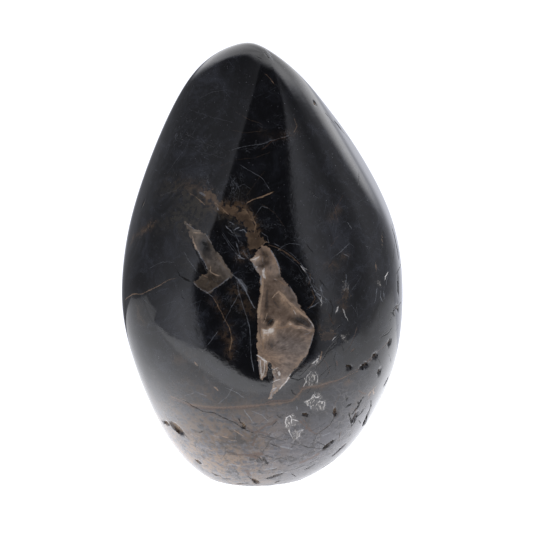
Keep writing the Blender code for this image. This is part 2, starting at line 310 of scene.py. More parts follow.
DARK, CRACK, SHADE, RUST, OCHRE = (0.0, 1.0), (0.04, 0.9), (0.13, 0.6), (0.3, 0.9), (0.37, 0.8)
TAN, CREAM = (0.55, 0.8), (0.68, 0.75)
FAINT, PALE, THREAD, WHITE = (0.5, 0.35), (0.8, 0.75), (0.8, 0.34), (1.0, 0.8)
FRONT_LINES = (
    # the rusty seam above the cloudy foot, and the dark crack that runs along it
    (RUST, 0.34, 171.7, 399.3, 183.7, 403, 192, 406.7, 201.3, 408.5, 212.4, 408.5, 233.6, 408, 247.5, 407.6,
     264.2, 404.3, 270.6, 401),
    (RUST, 0.36, 270.6, 401, 281, 401, 292, 400, 297.5, 395.6, 304.4, 386.5),
    (RUST, 0.26, 304.4, 386.5, 317.8, 387.4, 328.3, 383.6, 336.9, 380.7, 343.6, 377.8, 351.2, 372,
     359.9, 368.3, 368.5, 360.6),
    (RUST, 0.24, 368.5, 360.6, 376, 353, 383.8, 346.3, 389.5, 339.6),
    (DARK, 0.2, 181.8, 398.3, 192, 405.7, 203, 411.3, 214.2, 412.7, 223.5, 417.8, 234.6, 422.4,
     243.8, 428.9, 254, 433),
    (CRACK, 0.21, 262.3, 434.9, 272.5, 438, 279.9, 440),
    (RUST, 0.3, 254.9, 433, 264.2, 427, 271.6, 424.2, 276.2, 419.6),
    (RUST, 0.29, 255.4, 436.3, 252.6, 445.5), (CRACK, 0.3, 270.6, 443.7, 279, 446.9),
    (DARK, 0.2, 238, 418, 243.5, 426, 247, 428), (CRACK, 0.13, 201.8, 424, 202.4, 427),
    (CRACK, 0.16, 200.4, 431, 203.4, 431), (CRACK, 0.26, 196, 460.4, 199, 461.4),
    (TAN, 0.14, 184.6, 430.7, 192, 434, 199.4, 437.2),
    (RUST, 0.31, 172, 421, 178, 425.5, 184, 431, 190, 433),
    (RUST, 0.35, 227, 451.5, 236.4, 454.8, 245.7, 454.3), (RUST, 0.62, 249.4, 454.8, 262.3, 453.8),
    (TAN, 0.18, 253, 457, 261, 457.6), (CRACK, 0.48, 263.2, 457.5, 267.4, 464),
    (CRACK, 0.26, 254.9, 461.2, 258, 461.4), (CRACK, 0.29, 272.5, 470, 276.2, 468.6),
    (CRACK, 0.48, 267, 478.8, 274, 476.2, 281.7, 473.7), (CRACK, 0.31, 214.2, 475, 220.7, 476),
    (CRACK, 0.28, 186.5, 463, 192, 468, 197.6, 471.4), (CRACK, 0.33, 237.3, 484, 247.5, 483),
    (CRACK, 0.33, 275.3, 482.5, 279.9, 480.7), (RUST, 0.62, 252, 478, 255, 483.4, 259.5, 483.4),
    (CRACK, 0.45, 323, 449.6, 328, 446, 333, 442), (RUST, 0.52, 299.6, 463, 311, 458.2, 318.7, 453.4),
    (CRACK, 0.28, 333, 455.4, 340, 449, 345.5, 443.9), (CRACK, 0.18, 290, 443.4, 309, 447.2, 323, 448.7),
    (CRACK, 0.18, 339.3, 433.3, 339.3, 441), (CRACK, 0.32, 304.4, 469.7, 314.9, 464),
    (RUST, 0.2, 310, 430.5, 315.8, 434.3, 323.5, 429.5, 331, 423.8),
    (DARK, 0.18, 317, 434, 323.5, 429.5, 330, 425, 335, 416, 336, 408.5),
    (DARK, 0.22, 302.4, 414.2, 308.6, 415.2), (RUST, 0.31, 303, 420, 307, 424, 306, 429),
    (DARK, 0.22, 347.4, 405.6, 351.2, 403.7), (DARK, 0.22, 346.9, 397, 346.5, 399.9),
    (DARK, 0.31, 352.2, 414.2, 357, 407.5, 360.8, 400.8), (DARK, 0.25, 351.2, 422.8, 356, 414.2),
    (DARK, 0.22, 365.6, 406.6, 361.8, 412.3, 357, 417),
    (DARK, 0.28, 371.3, 400.8, 370.4, 407.5, 367.5, 415.2, 365.6, 423.8, 362.7, 425.7),
    (DARK, 0.2, 359, 420.4, 360.4, 423.4), (CRACK, 0.18, 351.2, 433.3, 349.3, 436.2),
    (RUST, 0.22, 389.5, 375, 386, 381, 383.8, 385.5), (RUST, 0.28, 358.9, 391.2, 364.6, 394),
    (RUST, 0.34, 374.2, 386.5, 371, 392, 368.5, 398.9), (RUST, 0.14, 339, 396, 335, 404, 338, 418),
    # beside the flake, lower right
    (DARK, 0.24, 336.9, 333.8, 336.9, 343.4, 332, 348, 328.3, 351),
    (RUST, 0.12, 320, 356, 327, 364, 330, 374), (DARK, 0.12, 300, 376, 306, 370, 314, 360),
    (DARK, 0.14, 308, 392, 316, 380, 330, 366), (RUST, 0.14, 357, 328, 351, 345, 345, 352),
    (RUST, 0.2, 329, 314, 331, 320, 334, 325), (WHITE, 0.12, 321.5, 297, 321.8, 302, 321.2, 306),
    (WHITE, 0.13, 343.4, 309.5, 345, 315, 347.9, 320.2), (PALE, 0.14, 346, 275, 346, 283),
    (RUST, 0.14, 343, 301, 343.6, 307), (WHITE, 0.26, 337.8, 307, 336.4, 312),
    (DARK, 0.12, 320, 280.4, 326, 288), (RUST, 0.13, 333, 262, 328.4, 267.4),
    (PALE, 0.08, 337, 255, 349, 244), (PALE, 0.12, 347.5, 222.3, 351.7, 228.4),
    (PALE, 0.1, 344.4, 254, 348.6, 256.3), (PALE, 0.12, 352.2, 245.4, 353, 246),
    (PALE, 0.12, 366.6, 246.2, 367.4, 246.8), (TAN, 0.17, 375.8, 263.6, 376.2, 269.7),
    (WHITE, 0.16, 388, 272.8, 386, 276, 385.4, 279), (PALE, 0.16, 383.5, 291, 383.4, 297),
    (PALE, 0.12, 376.6, 288, 376.4, 293), (PALE, 0.1, 380.4, 298, 382, 301),
    (DARK, 0.12, 379.2, 311.8, 379.6, 316.4), (DARK, 0.12, 374.3, 306.5, 373.9, 311),
    # right rim
    (DARK, 0.1, 381.9, 227, 382.6, 240, 381.5, 255), (DARK, 0.12, 386.9, 246, 386.5, 253.7),
    (DARK, 0.2, 392.6, 223, 394.9, 237.6, 394.2, 249, 391.9, 262.8), (DARK, 0.16, 398, 249, 398.8, 253.7),
    (DARK, 0.18, 400.7, 264, 398, 270.5, 395.7, 275), (DARK, 0.2, 398, 276.6, 398.8, 283.5, 398.4, 295),
    (DARK, 0.16, 397.6, 299.6, 398, 302.6), (DARK, 0.2, 401, 302, 396.5, 307, 392.6, 311.8, 394.9, 316.4),
    (DARK, 0.12, 391, 318.7, 389.6, 322.5), (DARK, 0.16, 391.9, 327.9, 387.3, 334, 381, 337),
    (DARK, 0.14, 399.5, 321.8, 395.7, 331), (DARK, 0.12, 389, 354, 391, 362),
    # the tip
    (PALE, 0.13, 261.4, 47, 266, 50, 271, 55.6), (DARK, 0.16, 263.6, 51.4, 266.4, 54.4, 269.4, 58.4),
    (PALE, 0.1, 268.6, 54, 273, 60),
    # below the tip
    (DARK, 0.18, 325.4, 113, 333, 122, 342, 131, 350.4, 140), (DARK, 0.1, 331, 122, 340, 133, 346, 141),
    (DARK, 0.16, 314, 102, 317, 106), (DARK, 0.12, 256, 56, 261, 59), (DARK, 0.1, 359, 172, 358.4, 184),
    # veins of the middle
    (PALE, 0.16, 232, 275, 237, 278, 242, 284, 246, 291, 250, 300, 254.5, 308),
    (PALE, 0.13, 204, 290, 213, 297),
    (TAN, 0.14, 213, 297, 219, 308, 224, 318, 229.5, 328, 232, 340, 230, 350),
    (THREAD, 0.13, 237, 278, 238, 290, 243, 306, 247, 318, 250, 330, 250.5, 345, 251, 358, 254, 370),
    (PALE, 0.1, 247, 318, 249.4, 326, 250, 334), (PALE, 0.09, 251, 352, 252, 362, 254, 371),
    (PALE, 0.08, 224, 322, 231, 308, 239, 294), (PALE, 0.1, 236, 243, 240, 256, 237, 258, 244, 259),
    (PALE, 0.07, 222, 234, 230, 246, 238, 256), (PALE, 0.08, 208, 345, 213, 338, 217, 332),
    (FAINT, 0.2, 269, 245, 276, 247, 285, 252, 293, 258, 300, 264),
    (THREAD, 0.08, 274, 243, 283, 248, 292, 254, 300, 262),
    (THREAD, 0.08, 280, 252, 290, 259, 298, 266, 304, 276), (WHITE, 0.16, 301, 266, 305, 271),
    (FAINT, 0.14, 305, 271, 311, 274, 309, 284),
    (THREAD, 0.16, 300, 262, 307, 274, 312, 286, 318, 297, 324, 303), (PALE, 0.12, 303, 266, 307, 272.6),
    (PALE, 0.1, 318, 296, 321.6, 300.4, 326, 303), (FAINT, 0.14, 312, 290, 315, 299, 311, 306, 308, 308),
    (PALE, 0.09, 320, 286, 323, 296, 330, 303), (TAN, 0.16, 247, 203, 254, 199, 262, 197, 273, 192),
    (TAN, 0.12, 253, 218, 256, 225, 254, 233), (PALE, 0.1, 262, 233, 267, 236, 269, 243),
    (PALE, 0.07, 278, 250, 283, 246, 290, 243, 300, 245),
    (PALE, 0.07, 232, 150, 246, 146, 262, 144, 276, 139, 288, 136),
    (PALE, 0.06, 240, 165, 252, 172, 262, 178, 270, 190), (RUST, 0.12, 262, 150, 272, 141, 286, 137),
    (RUST, 0.1, 338, 222, 335, 210, 343, 196), (RUST, 0.1, 331, 246, 338, 236),
    (PALE, 0.06, 256, 214, 262, 206, 268, 208), (DARK, 0.12, 309, 189, 318, 198),
    (DARK, 0.12, 332, 202, 337, 212), (DARK, 0.09, 186, 134, 200, 141, 214, 147),
    (DARK, 0.08, 180, 138, 192, 145),
    # left side
    (TAN, 0.16, 125, 300, 133, 294, 142, 294, 152, 289, 160, 285),
    (TAN, 0.12, 160, 285, 168, 280, 176, 278), (DARK, 0.22, 176, 268, 180, 276, 190, 281),
    (DARK, 0.12, 182, 296, 184, 299), (PALE, 0.07, 184, 252, 190, 262, 197, 272),
    (TAN, 0.3, 194.6, 362.6, 197.4, 365.4), (TAN, 0.42, 214.8, 387.4, 218, 390),
    (PALE, 0.07, 150, 268, 162, 262, 174, 262), (DARK, 0.12, 143, 203, 141, 210),
    (DARK, 0.12, 137, 212, 135, 219),
    # inside the main flake and along its edges: whitish crust and prongs, and its relief drawn as
    # painted highlights on its bump, ridges and left edge and painted shade in its pit and hollows
    (CREAM, 0.3, 262.4, 280, 262.4, 289, 261, 300, 259.2, 307, 258.3, 318),
    (WHITE, 0.3, 263.6, 269.5, 263, 274, 265, 277.6), (PALE, 0.2, 260.8, 276, 261.4, 284.6),
    (WHITE, 0.22, 275.4, 279.2, 276.2, 279.8), (WHITE, 0.16, 251.6, 260, 255.5, 258.4, 259, 256.6),
    (WHITE, 0.18, 256, 267, 257.2, 267), (PALE, 0.16, 252.4, 262.4, 255, 267, 259, 272.6),
    (PALE, 0.12, 262.4, 257, 263, 262.4), (SHADE, 0.3, 261.6, 265.6, 266.4, 262),
    (SHADE, 0.3, 268, 257, 262.4, 252.6, 261, 249), (SHADE, 0.24, 270.6, 266.6, 270.4, 270),
    (PALE, 0.14, 270.8, 250.4, 275.4, 258, 278.8, 266.4, 279.6, 273),
    (CREAM, 0.3, 278.6, 291.6, 283.4, 296, 289, 302.6, 292, 307),
    (CREAM, 0.34, 291, 303, 297, 309.4, 302, 314, 307, 317.6), (WHITE, 0.24, 293.6, 310.4, 295.4, 313.6),
    (CREAM, 0.2, 278.6, 291.6, 274.6, 294.6, 272.6, 298), (TAN, 0.24, 275, 278.6, 281, 281.6, 285.6, 286),
    (DARK, 0.14, 288, 289.4, 291, 293.6, 294.4, 297), (PALE, 0.12, 289.6, 286.4, 293.4, 292.4, 296.6, 298),
    (SHADE, 0.4, 267.6, 290, 267, 298, 266.8, 309), (SHADE, 0.26, 273, 300, 279, 308),
    (DARK, 0.26, 267.6, 324.6, 270, 321.6, 272.4, 319.6),
    (SHADE, 0.4, 265.6, 321.4, 266.8, 316.6, 269.4, 316.6),
    (CREAM, 0.12, 267, 313.6, 265.6, 318.6, 263.4, 324),
    (WHITE, 0.34, 262.6, 329.6, 266.4, 330.6, 271, 329), (CREAM, 0.4, 271, 329, 274.4, 325.6, 276.8, 321.6),
    (CREAM, 0.46, 264, 335, 269.4, 333.6), (TAN, 0.4, 277, 328.4, 283, 327.6, 288.6, 326.6),
    (SHADE, 0.22, 260.2, 326, 259.8, 333, 261.4, 339),
    (CREAM, 0.17, 289.6, 322.4, 294.6, 326, 301.4, 326.6, 307, 329.6, 310.8, 330),
    (TAN, 0.14, 299, 323.6, 304.6, 325.6, 309.6, 329),
    (SHADE, 0.5, 296.4, 318.4, 302.6, 320.6, 307.4, 324.6), (SHADE, 0.16, 296, 329.4, 303, 329.6, 308, 332),
    (WHITE, 0.14, 307.8, 318.8, 311.4, 322.4, 313.6, 327), (PALE, 0.12, 311.6, 324, 311, 329.4),
    (PALE, 0.13, 310.8, 331, 308.6, 333.6, 305, 334.4),
    (PALE, 0.15, 313, 334, 311.4, 342, 308.6, 349, 304.6, 355), (SHADE, 0.36, 270.6, 343, 272.4, 347),
    (TAN, 0.3, 262.4, 342, 263.6, 350), (WHITE, 0.2, 257.4, 355, 261.6, 358.4, 266, 361.4),
    (WHITE, 0.16, 260.4, 360, 260.8, 368, 261.6, 378), (WHITE, 0.15, 264.6, 362, 264.4, 370, 262.6, 377),
    (PALE, 0.14, 258.6, 360, 259.2, 368, 260.4, 374), (DARK, 0.34, 268.6, 363.4, 270.8, 367),
    (DARK, 0.5, 269.6, 371, 270, 378), (PALE, 0.12, 267.6, 366, 270, 369.6, 275, 369),
    (WHITE, 0.16, 273.6, 369.6, 277, 368), (WHITE, 0.28, 278.8, 371.6, 279.4, 375),
    (PALE, 0.16, 273.6, 374, 275.6, 380), (WHITE, 0.13, 273, 382.4, 276, 380.4, 279.4, 379.6),
    (WHITE, 0.18, 290.6, 374.4, 287.4, 380.6, 283, 385, 279.6, 389),
    (PALE, 0.2, 276, 388, 271.6, 392.6, 270.6, 398), (WHITE, 0.14, 272.6, 389, 275.6, 388),
    # inside the left flake and along its edges
    (CREAM, 0.2, 192.4, 236, 193.6, 243, 197, 249),
    (PALE, 0.14, 198, 251, 201, 257.6, 205, 263.4, 207.4, 269),
    (PALE, 0.14, 206, 234.6, 208.4, 238.6, 211.6, 243.6),
    (PALE, 0.1, 186.4, 223.6, 191, 226.6, 194.6, 229.6), (DARK, 0.42, 203, 242.4, 206.6, 245.6),
    (CREAM, 0.24, 194, 232.6, 201, 233), (CREAM, 0.16, 210.6, 266, 210.4, 271.6, 214, 274.4, 219, 275.6),
    (TAN, 0.2, 202.4, 275, 207, 277.4),
    (PALE, 0.13, 193.8, 282.6, 199.4, 288.4, 206.6, 293, 212.6, 290, 221, 284.4, 230, 277),
    (SHADE, 0.2, 206.6, 284.6, 209, 279.6), (SHADE, 0.2, 212, 277, 214, 281, 219, 282),
    (TAN, 0.14, 218.4, 257, 224, 265, 231, 274),
    (DARK, 0.16, 191, 241.6, 195.6, 249.6, 198.6, 257, 203, 264, 206.6, 272),
    (THREAD, 0.45, 239, 279.6, 243.6, 286, 246.4, 291),
    # the brown veil and the broken web right of it
    (THREAD, 0.26, 199.6, 192.6, 202, 193.6, 205, 195.4), (TAN, 0.12, 190, 193.6, 198, 198.4, 204.6, 205),
    (PALE, 0.16, 217.6, 208, 218.6, 210), (TAN, 0.14, 215, 202.6, 222, 208, 229, 215),
    (PALE, 0.14, 226, 226.4, 229.4, 229.6, 232, 232.4), (PALE, 0.13, 229.4, 221.6, 233.6, 224.4),
    (PALE, 0.14, 234.6, 229.4, 238.6, 227.6), (PALE, 0.12, 240, 230.6, 243.4, 229.6, 246.4, 233),
    (THREAD, 0.1, 222, 231, 227, 239, 233, 246.6, 238, 254.6),
    (PALE, 0.14, 238, 254.6, 240.6, 257.4, 243.6, 258.4), (THREAD, 0.1, 233.6, 230, 236.6, 237, 239.4, 243),
    (THREAD, 0.1, 243, 250, 246, 255.4, 248.6, 258.6), (THREAD, 0.08, 228, 232.4, 234.4, 236, 241, 236.4),
    (DARK, 0.2, 217.6, 213.4, 219.4, 218.6), (DARK, 0.24, 228, 226.6, 231, 225),
    (DARK, 0.3, 233.6, 232.6, 239.4, 235), (DARK, 0.12, 193, 205, 194.4, 205),
    (TAN, 0.12, 250, 218.6, 254, 221.4, 256, 226), (TAN, 0.1, 246, 211, 249.4, 216),
    (THREAD, 0.08, 249.6, 207, 254, 212.6, 252.4, 218), (PALE, 0.12, 273.6, 244, 277, 244.6, 278.4, 246),
    (CREAM, 0.14, 263.6, 244.6, 265.6, 241.6, 268.6, 242.6), (WHITE, 0.13, 303.4, 267.6, 307.4, 270),
    (WHITE, 0.12, 302.6, 268.4, 305.6, 272.4), (THREAD, 0.12, 310, 276, 313.6, 280.6, 313, 286),
    (PALE, 0.14, 313.6, 289, 316.4, 293, 321.6, 296), (THREAD, 0.1, 314, 285, 318, 289.6, 324.6, 291.6),
    (WHITE, 0.14, 320.6, 299.6, 322.4, 304.4), (PALE, 0.12, 309.6, 308, 314, 305.6, 318.4, 302.6),
    (THREAD, 0.12, 325, 298, 327.6, 304, 327, 310), (SHADE, 0.3, 330, 300, 332.6, 308, 331, 316),
    # the white rings low on the right, and the veins round them
    (WHITE, 0.17, 286.4, 417.6, 285.4, 422.6, 287.4, 427),
    (WHITE, 0.14, 287.6, 417.4, 290.6, 415.6, 291.6, 419.6, 291.4, 424),
    (WHITE, 0.14, 292.6, 419.4, 297.4, 421), (WHITE, 0.15, 289, 429.6, 290, 434, 293, 438.4),
    (WHITE, 0.14, 296.4, 437.8, 299.8, 436.4, 300, 432.4), (PALE, 0.18, 297.6, 432, 303.4, 429.4),
    (WHITE, 0.14, 304.4, 402, 308.4, 401, 311.6, 398.6),
    (WHITE, 0.13, 311.6, 398.6, 313.6, 394.4, 316, 398, 319.6, 396.4),
    (PALE, 0.13, 305.4, 403, 309.6, 405.6, 311, 409.4),
    (WHITE, 0.13, 318.4, 402, 325, 401.6, 324.6, 406, 323, 410),
    (WHITE, 0.14, 304, 386, 306.4, 381.4, 306.6, 376.4, 311, 372),
    (WHITE, 0.13, 315, 371.8, 317.4, 375.6, 317.8, 380, 317, 384),
    (WHITE, 0.15, 312.6, 363.4, 316, 361, 318.4, 358.6), (PALE, 0.15, 296.6, 407, 297.4, 409.4),
    (DARK, 0.24, 291.6, 390, 293.6, 393.6, 295.6, 394.6), (DARK, 0.14, 291, 377.4, 297.6, 380, 303, 378),
    (DARK, 0.26, 290, 376.6, 295.6, 370.6, 302, 363.4, 306.4, 357),
    (DARK, 0.3, 335.6, 342, 330.6, 346.6, 326.6, 352.4),
    (DARK, 0.14, 326.6, 352.4, 322, 360.4, 316.6, 366.4),
    (DARK, 0.26, 337.6, 332.6, 338.8, 337.4, 334.4, 341.6), (WHITE, 0.2, 332.6, 340.4, 334.8, 337.4),
    (DARK, 0.2, 331.4, 326.4, 334, 324.6), (DARK, 0.16, 337, 328.6, 339.4, 326),
    (DARK, 0.13, 329.8, 369, 327.4, 374, 324.6, 377.4),
    (DARK, 0.12, 335.6, 352, 333.6, 358, 335.6, 364, 334.6, 370), (DARK, 0.14, 341.6, 344, 344, 352),
    (RUST, 0.24, 336.6, 361, 337.4, 365.6), (TAN, 0.2, 322, 352, 320, 360), (RUST, 0.5, 352, 351, 354, 349),
    (DARK, 0.25, 363.4, 397, 359.6, 402, 358.4, 407), (DARK, 0.17, 370.6, 401, 371.4, 407),
    (DARK, 0.12, 378, 358, 380.6, 364), (DARK, 0.14, 375.6, 347, 372.6, 352),
    (PALE, 0.14, 376.8, 289, 376.4, 296, 375, 302), (PALE, 0.18, 381, 291, 380.4, 297, 382.6, 300.6),
    (PALE, 0.12, 384.6, 293, 384.6, 298), (WHITE, 0.13, 387.6, 272.6, 385.2, 276.6, 385, 279),
    (THREAD, 0.14, 388.4, 276, 386.4, 281, 386.6, 285), (THREAD, 0.1, 345, 281, 346.6, 286, 343.6, 290),
    (THREAD, 0.12, 347.6, 282, 348.4, 288), (SHADE, 0.2, 344.6, 272, 344.6, 280),
    (SHADE, 0.16, 346.4, 300, 344.4, 306), (THREAD, 0.07, 351.6, 304.6, 356.6, 313),
    (THREAD, 0.06, 356.6, 302, 357.4, 316), (THREAD, 0.06, 328.6, 275, 333, 279.6),
    (THREAD, 0.06, 352, 290, 361, 277), (THREAD, 0.06, 337, 254, 331, 259),
    (DARK, 0.1, 306, 244, 309.6, 248.4, 313, 252), (DARK, 0.1, 322, 283, 326.6, 289),
    # fine lines across the black and the left shoulder
    (FAINT, 0.07, 232, 130, 246, 133, 262, 131), (FAINT, 0.06, 236, 112, 250, 120, 262, 124),
    (FAINT, 0.07, 220, 166, 236, 160, 254, 158, 270, 152), (THREAD, 0.06, 230, 176, 240, 190, 238, 202),
    (THREAD, 0.07, 236, 188, 244, 184, 251, 189), (FAINT, 0.06, 246, 196, 256, 182, 264, 172),
    (FAINT, 0.06, 262, 204, 274, 212, 284, 226), (THREAD, 0.06, 190, 110, 214, 118, 232, 122),
    (THREAD, 0.06, 176, 140, 200, 152, 224, 158), (THREAD, 0.06, 168, 172, 184, 150, 196, 128),
    (THREAD, 0.06, 200, 98, 212, 92, 226, 90), (THREAD, 0.06, 160, 196, 176, 190, 190, 176),
    (TAN, 0.09, 266, 74, 270, 78, 274, 84), (TAN, 0.09, 294, 118, 297, 126, 294, 132),
    # streaks and specks of the foot
    (TAN, 0.18, 190, 434, 196, 437.6), (RUST, 0.31, 185, 431, 190, 433),
    (CRACK, 0.23, 199.6, 432.6, 203, 431), (SHADE, 0.39, 200.4, 425.6, 203.6, 424.6),
    (THREAD, 0.18, 213, 435.6, 219, 437), (THREAD, 0.13, 231, 428, 237, 429),
    (TAN, 0.18, 234, 430, 243, 436), (TAN, 0.18, 229, 440, 236, 441),
    (SHADE, 0.62, 220, 437, 226, 440, 232, 437), (SHADE, 0.62, 226, 452, 236, 454),
    (SHADE, 0.35, 204, 452, 212, 455), (RUST, 0.32, 201, 455, 206, 459),
    (CRACK, 0.23, 195, 459.4, 199.6, 461.6), (SHADE, 0.31, 209, 431, 216, 433),
    (SHADE, 0.43, 176, 426, 181, 431), (DARK, 0.16, 276.6, 415, 281.6, 418),
    (DARK, 0.14, 272, 426, 276.6, 421), (RUST, 0.24, 262, 428, 269, 423), (SHADE, 0.47, 311, 448, 316, 443),
    (CRACK, 0.23, 264.6, 464.6, 268, 462.6), (SHADE, 0.37, 286, 459, 292, 456),
    (SHADE, 0.37, 296, 469, 304, 465), (CRACK, 0.27, 292, 474, 296, 476.4),
    (CRACK, 0.26, 306, 470, 314, 465.4), (CRACK, 0.32, 322, 468, 334, 460),
    (CRACK, 0.23, 330, 457, 340, 450), (RUST, 0.32, 336, 461, 346, 452), (DARK, 0.2, 350, 428, 356, 420),
    (SHADE, 0.31, 347, 436, 352, 430), (DARK, 0.12, 397.4, 277, 398.6, 283, 398, 290, 398.6, 296),
    (DARK, 0.14, 398.6, 301, 394.4, 307.6, 392.6, 312, 394, 317.6),
    (SHADE, 0.14, 392, 314, 390, 322, 387, 330), (SHADE, 0.14, 388, 330, 384, 334, 380, 338),
    (DARK, 0.08, 379, 311, 379.4, 318), (SHADE, 0.12, 383, 320, 380, 326),
    (DARK, 0.12, 390.4, 337, 388.6, 341, 391.4, 344.6), (SHADE, 0.16, 386, 347, 389, 343.4),
    (SHADE, 0.14, 366, 356.6, 367.4, 360), (RUST, 0.14, 370, 362, 374, 355, 380, 349.6, 385, 345),
    (SHADE, 0.12, 374, 362, 374.6, 368), (SHADE, 0.1, 376.6, 347, 374, 351),
    (RUST, 0.17, 358, 390, 362, 392, 366.4, 394), (DARK, 0.25, 347, 397.4, 346.6, 401),
    (DARK, 0.18, 345.6, 407.4, 350.4, 405), (DARK, 0.31, 358, 401.6, 359.4, 405, 357, 409),
    (DARK, 0.17, 365, 404.6, 362.6, 409.6, 361, 413), (RUST, 0.22, 356, 408.6, 356, 415, 353, 420),
    (DARK, 0.2, 371, 400, 371, 407), (DARK, 0.34, 367.6, 413, 366, 418, 364, 425),
    (DARK, 0.28, 349, 412.6, 350, 418, 351.6, 423, 351, 427), (DARK, 0.17, 355.4, 419.4, 353, 425),
    (RUST, 0.22, 333, 408.6, 335, 413, 334, 418), (SHADE, 0.19, 350, 432.6, 348.6, 437),
    (RUST, 0.17, 341, 431.6, 338.6, 441), (CRACK, 0.27, 340, 448.6, 336, 453, 331.6, 457),
    (RUST, 0.23, 345.6, 443.4, 340.6, 447), (SHADE, 0.21, 346.6, 446, 342, 452),
    (TAN, 0.3, 376.4, 386, 372.6, 390, 374, 394), (TAN, 0.25, 368.6, 395, 371.4, 391),
    # the rusty seam across the foot, and the crack that leaves it
    (OCHRE, 0.28, 171, 396.6, 181, 400.6, 190, 404.4, 205, 406.6, 222, 407.6, 240, 406.6),
    (OCHRE, 0.32, 240, 406.6, 256, 405.6, 271, 404, 283, 403, 292, 401, 297.6, 396, 302, 390),
    (OCHRE, 0.24, 302, 390, 310, 387, 320, 385.4, 330, 382, 340, 379.6, 349, 375, 358, 371),
    (RUST, 0.16, 349, 375, 347.6, 379, 349.4, 383), (TAN, 0.18, 180, 398, 186, 401),
    (RUST, 0.14, 204, 418, 212, 414, 219, 412, 226, 415, 234, 420),
    (RUST, 0.3, 234, 420, 243, 425, 252, 431, 262, 432.6, 270, 435),
    (RUST, 0.12, 252, 431, 258, 425, 265, 419, 274, 416),
    (RUST, 0.12, 184, 411.6, 192, 418, 201, 424, 210, 427),
    # broken cracks in the foot
    (CRACK, 0.17, 172, 421, 178, 427, 181, 433), (CRACK, 0.15, 181, 433, 187, 436, 190, 440),
    (SHADE, 0.45, 193, 430, 198, 432), (DARK, 0.12, 199, 419, 203, 422),
    (DARK, 0.14, 224, 417, 228, 419.6, 233, 424), (CRACK, 0.1, 235, 421, 240, 427, 246, 430),
    (CRACK, 0.16, 262, 437, 268, 438.4, 273, 441), (CRACK, 0.18, 270, 443, 274, 446),
    (CRACK, 0.28, 254, 455.6, 259, 457, 262, 461), (RUST, 0.62, 246, 455, 252, 456, 257, 459),
    (SHADE, 0.4, 232, 446, 240, 449), (CRACK, 0.15, 213, 446, 219, 448), (CRACK, 0.31, 212, 473, 219, 476),
    (SHADE, 0.6, 222, 478, 230, 479), (CRACK, 0.32, 247, 476, 252, 479, 256, 484),
    (RUST, 0.62, 246, 470, 250, 476), (CRACK, 0.27, 272, 478, 279, 475), (CRACK, 0.17, 284, 432, 288, 436),
    (DARK, 0.12, 303, 415, 306, 419, 305, 425), (RUST, 0.32, 300, 421, 306, 427, 311, 431),
    (CRACK, 0.13, 311, 431, 317, 428, 325, 423), (RUST, 0.14, 299, 386, 301, 394, 298, 400),
    (DARK, 0.12, 309, 411, 313, 414.6), (DARK, 0.1, 318, 416, 321, 422),
    (CRACK, 0.18, 313, 440, 322, 444, 328, 447), (CRACK, 0.15, 300, 444, 308, 447),
    (SHADE, 0.51, 318, 452, 327, 449), (CRACK, 0.23, 288, 466, 296, 463), (CRACK, 0.23, 310, 463, 318, 459),
    (CRACK, 0.22, 322, 474, 330, 468), (CRACK, 0.23, 299, 480, 308, 477),
    (THREAD, 0.18, 322, 436, 330, 433), (THREAD, 0.33, 280, 446, 292, 449),
    (THREAD, 0.33, 264, 470, 276, 468), (THREAD, 0.33, 228, 464, 240, 466),
    (TAN, 0.18, 206, 448, 212, 450.6), (TAN, 0.15, 222, 436, 228, 438), (TAN, 0.13, 248, 452, 253, 453),
    (TAN, 0.18, 196, 446, 201, 449), (PALE, 0.1, 244, 410, 250, 418, 254, 424),
    (PALE, 0.1, 252, 411, 262, 415, 268, 421), (PALE, 0.1, 226, 388, 236, 392, 244, 398),
    (THREAD, 0.14, 184, 396, 196, 392, 206, 396), (THREAD, 0.12, 218, 404, 228, 396, 232, 388),
    (THREAD, 0.1, 206, 413, 214, 418, 222, 420), (THREAD, 0.1, 333, 404, 335, 418),
    (THREAD, 0.1, 339, 384, 344, 380),
)
LINE_REACH = 1.1  # mm to each side over which a line's field is laid
LINE_SOFT = 0.16  # mm over which its edge fades; a line thinner than this is fainter
LINE_TAPER = 0.4  # mm beyond its ends over which it runs out
LINE_APART = 0.8  # mm more than its field that it keeps from the next line of its set
LINE_BOX = 3.0  # mm round a path's own box where its field is worked out

# On the sides that the lens doesn't see: seed, how many, most steps, step in mm, turn in degrees
BACK_LINES = (
    (11, 34, 5, 2.4, 35, DARK, 0.17), (12, 16, 7, 3.5, 25, RUST, 0.24), (13, 22, 6, 3.0, 40, PALE, 0.1),
    (14, 14, 6, 3.0, 30, TAN, 0.16), (15, 26, 3, 1.2, 20, WHITE, 0.12),
)


def wandering_lines(seed, count, steps, step_mm, turn_deg):
    """Each line starts at a seeded place and walks on the surface, its heading changing by a
    seeded turn at each step. Lines that touch the floor or that the lens would see are left out."""
    rng = np.random.default_rng(seed)
    for _ in range(count):
        turn = rng.uniform(98, 262)
        up = rng.uniform(-70, 70)
        heading = rng.uniform(0, 2 * math.pi)
        path = []
        for _ in range(rng.integers(2, steps + 1)):
            ray = facing(turn, up)
            far = float(reach(ray))
            path.append(CENTRE + ray * far)
            turn += math.degrees(step_mm * math.cos(heading) / (far * math.cos(math.radians(up))))
            up = float(np.clip(up + math.degrees(step_mm * math.sin(heading) / far), -78, 82))
            heading += math.radians(rng.uniform(-turn_deg, turn_deg))
        path = np.array(path)
        seen = ((outward_at(path) * (LENS - path)).sum(1) > 0).any()
        if path[:, 2].min() > 1.0 and not seen:
            yield path


lines = [(kind, half, on_stone(path)) for kind, half, *path in FRONT_LINES]
for *walk, kind, half in BACK_LINES:
    lines += [(kind, half, path) for path in wandering_lines(*walk)]

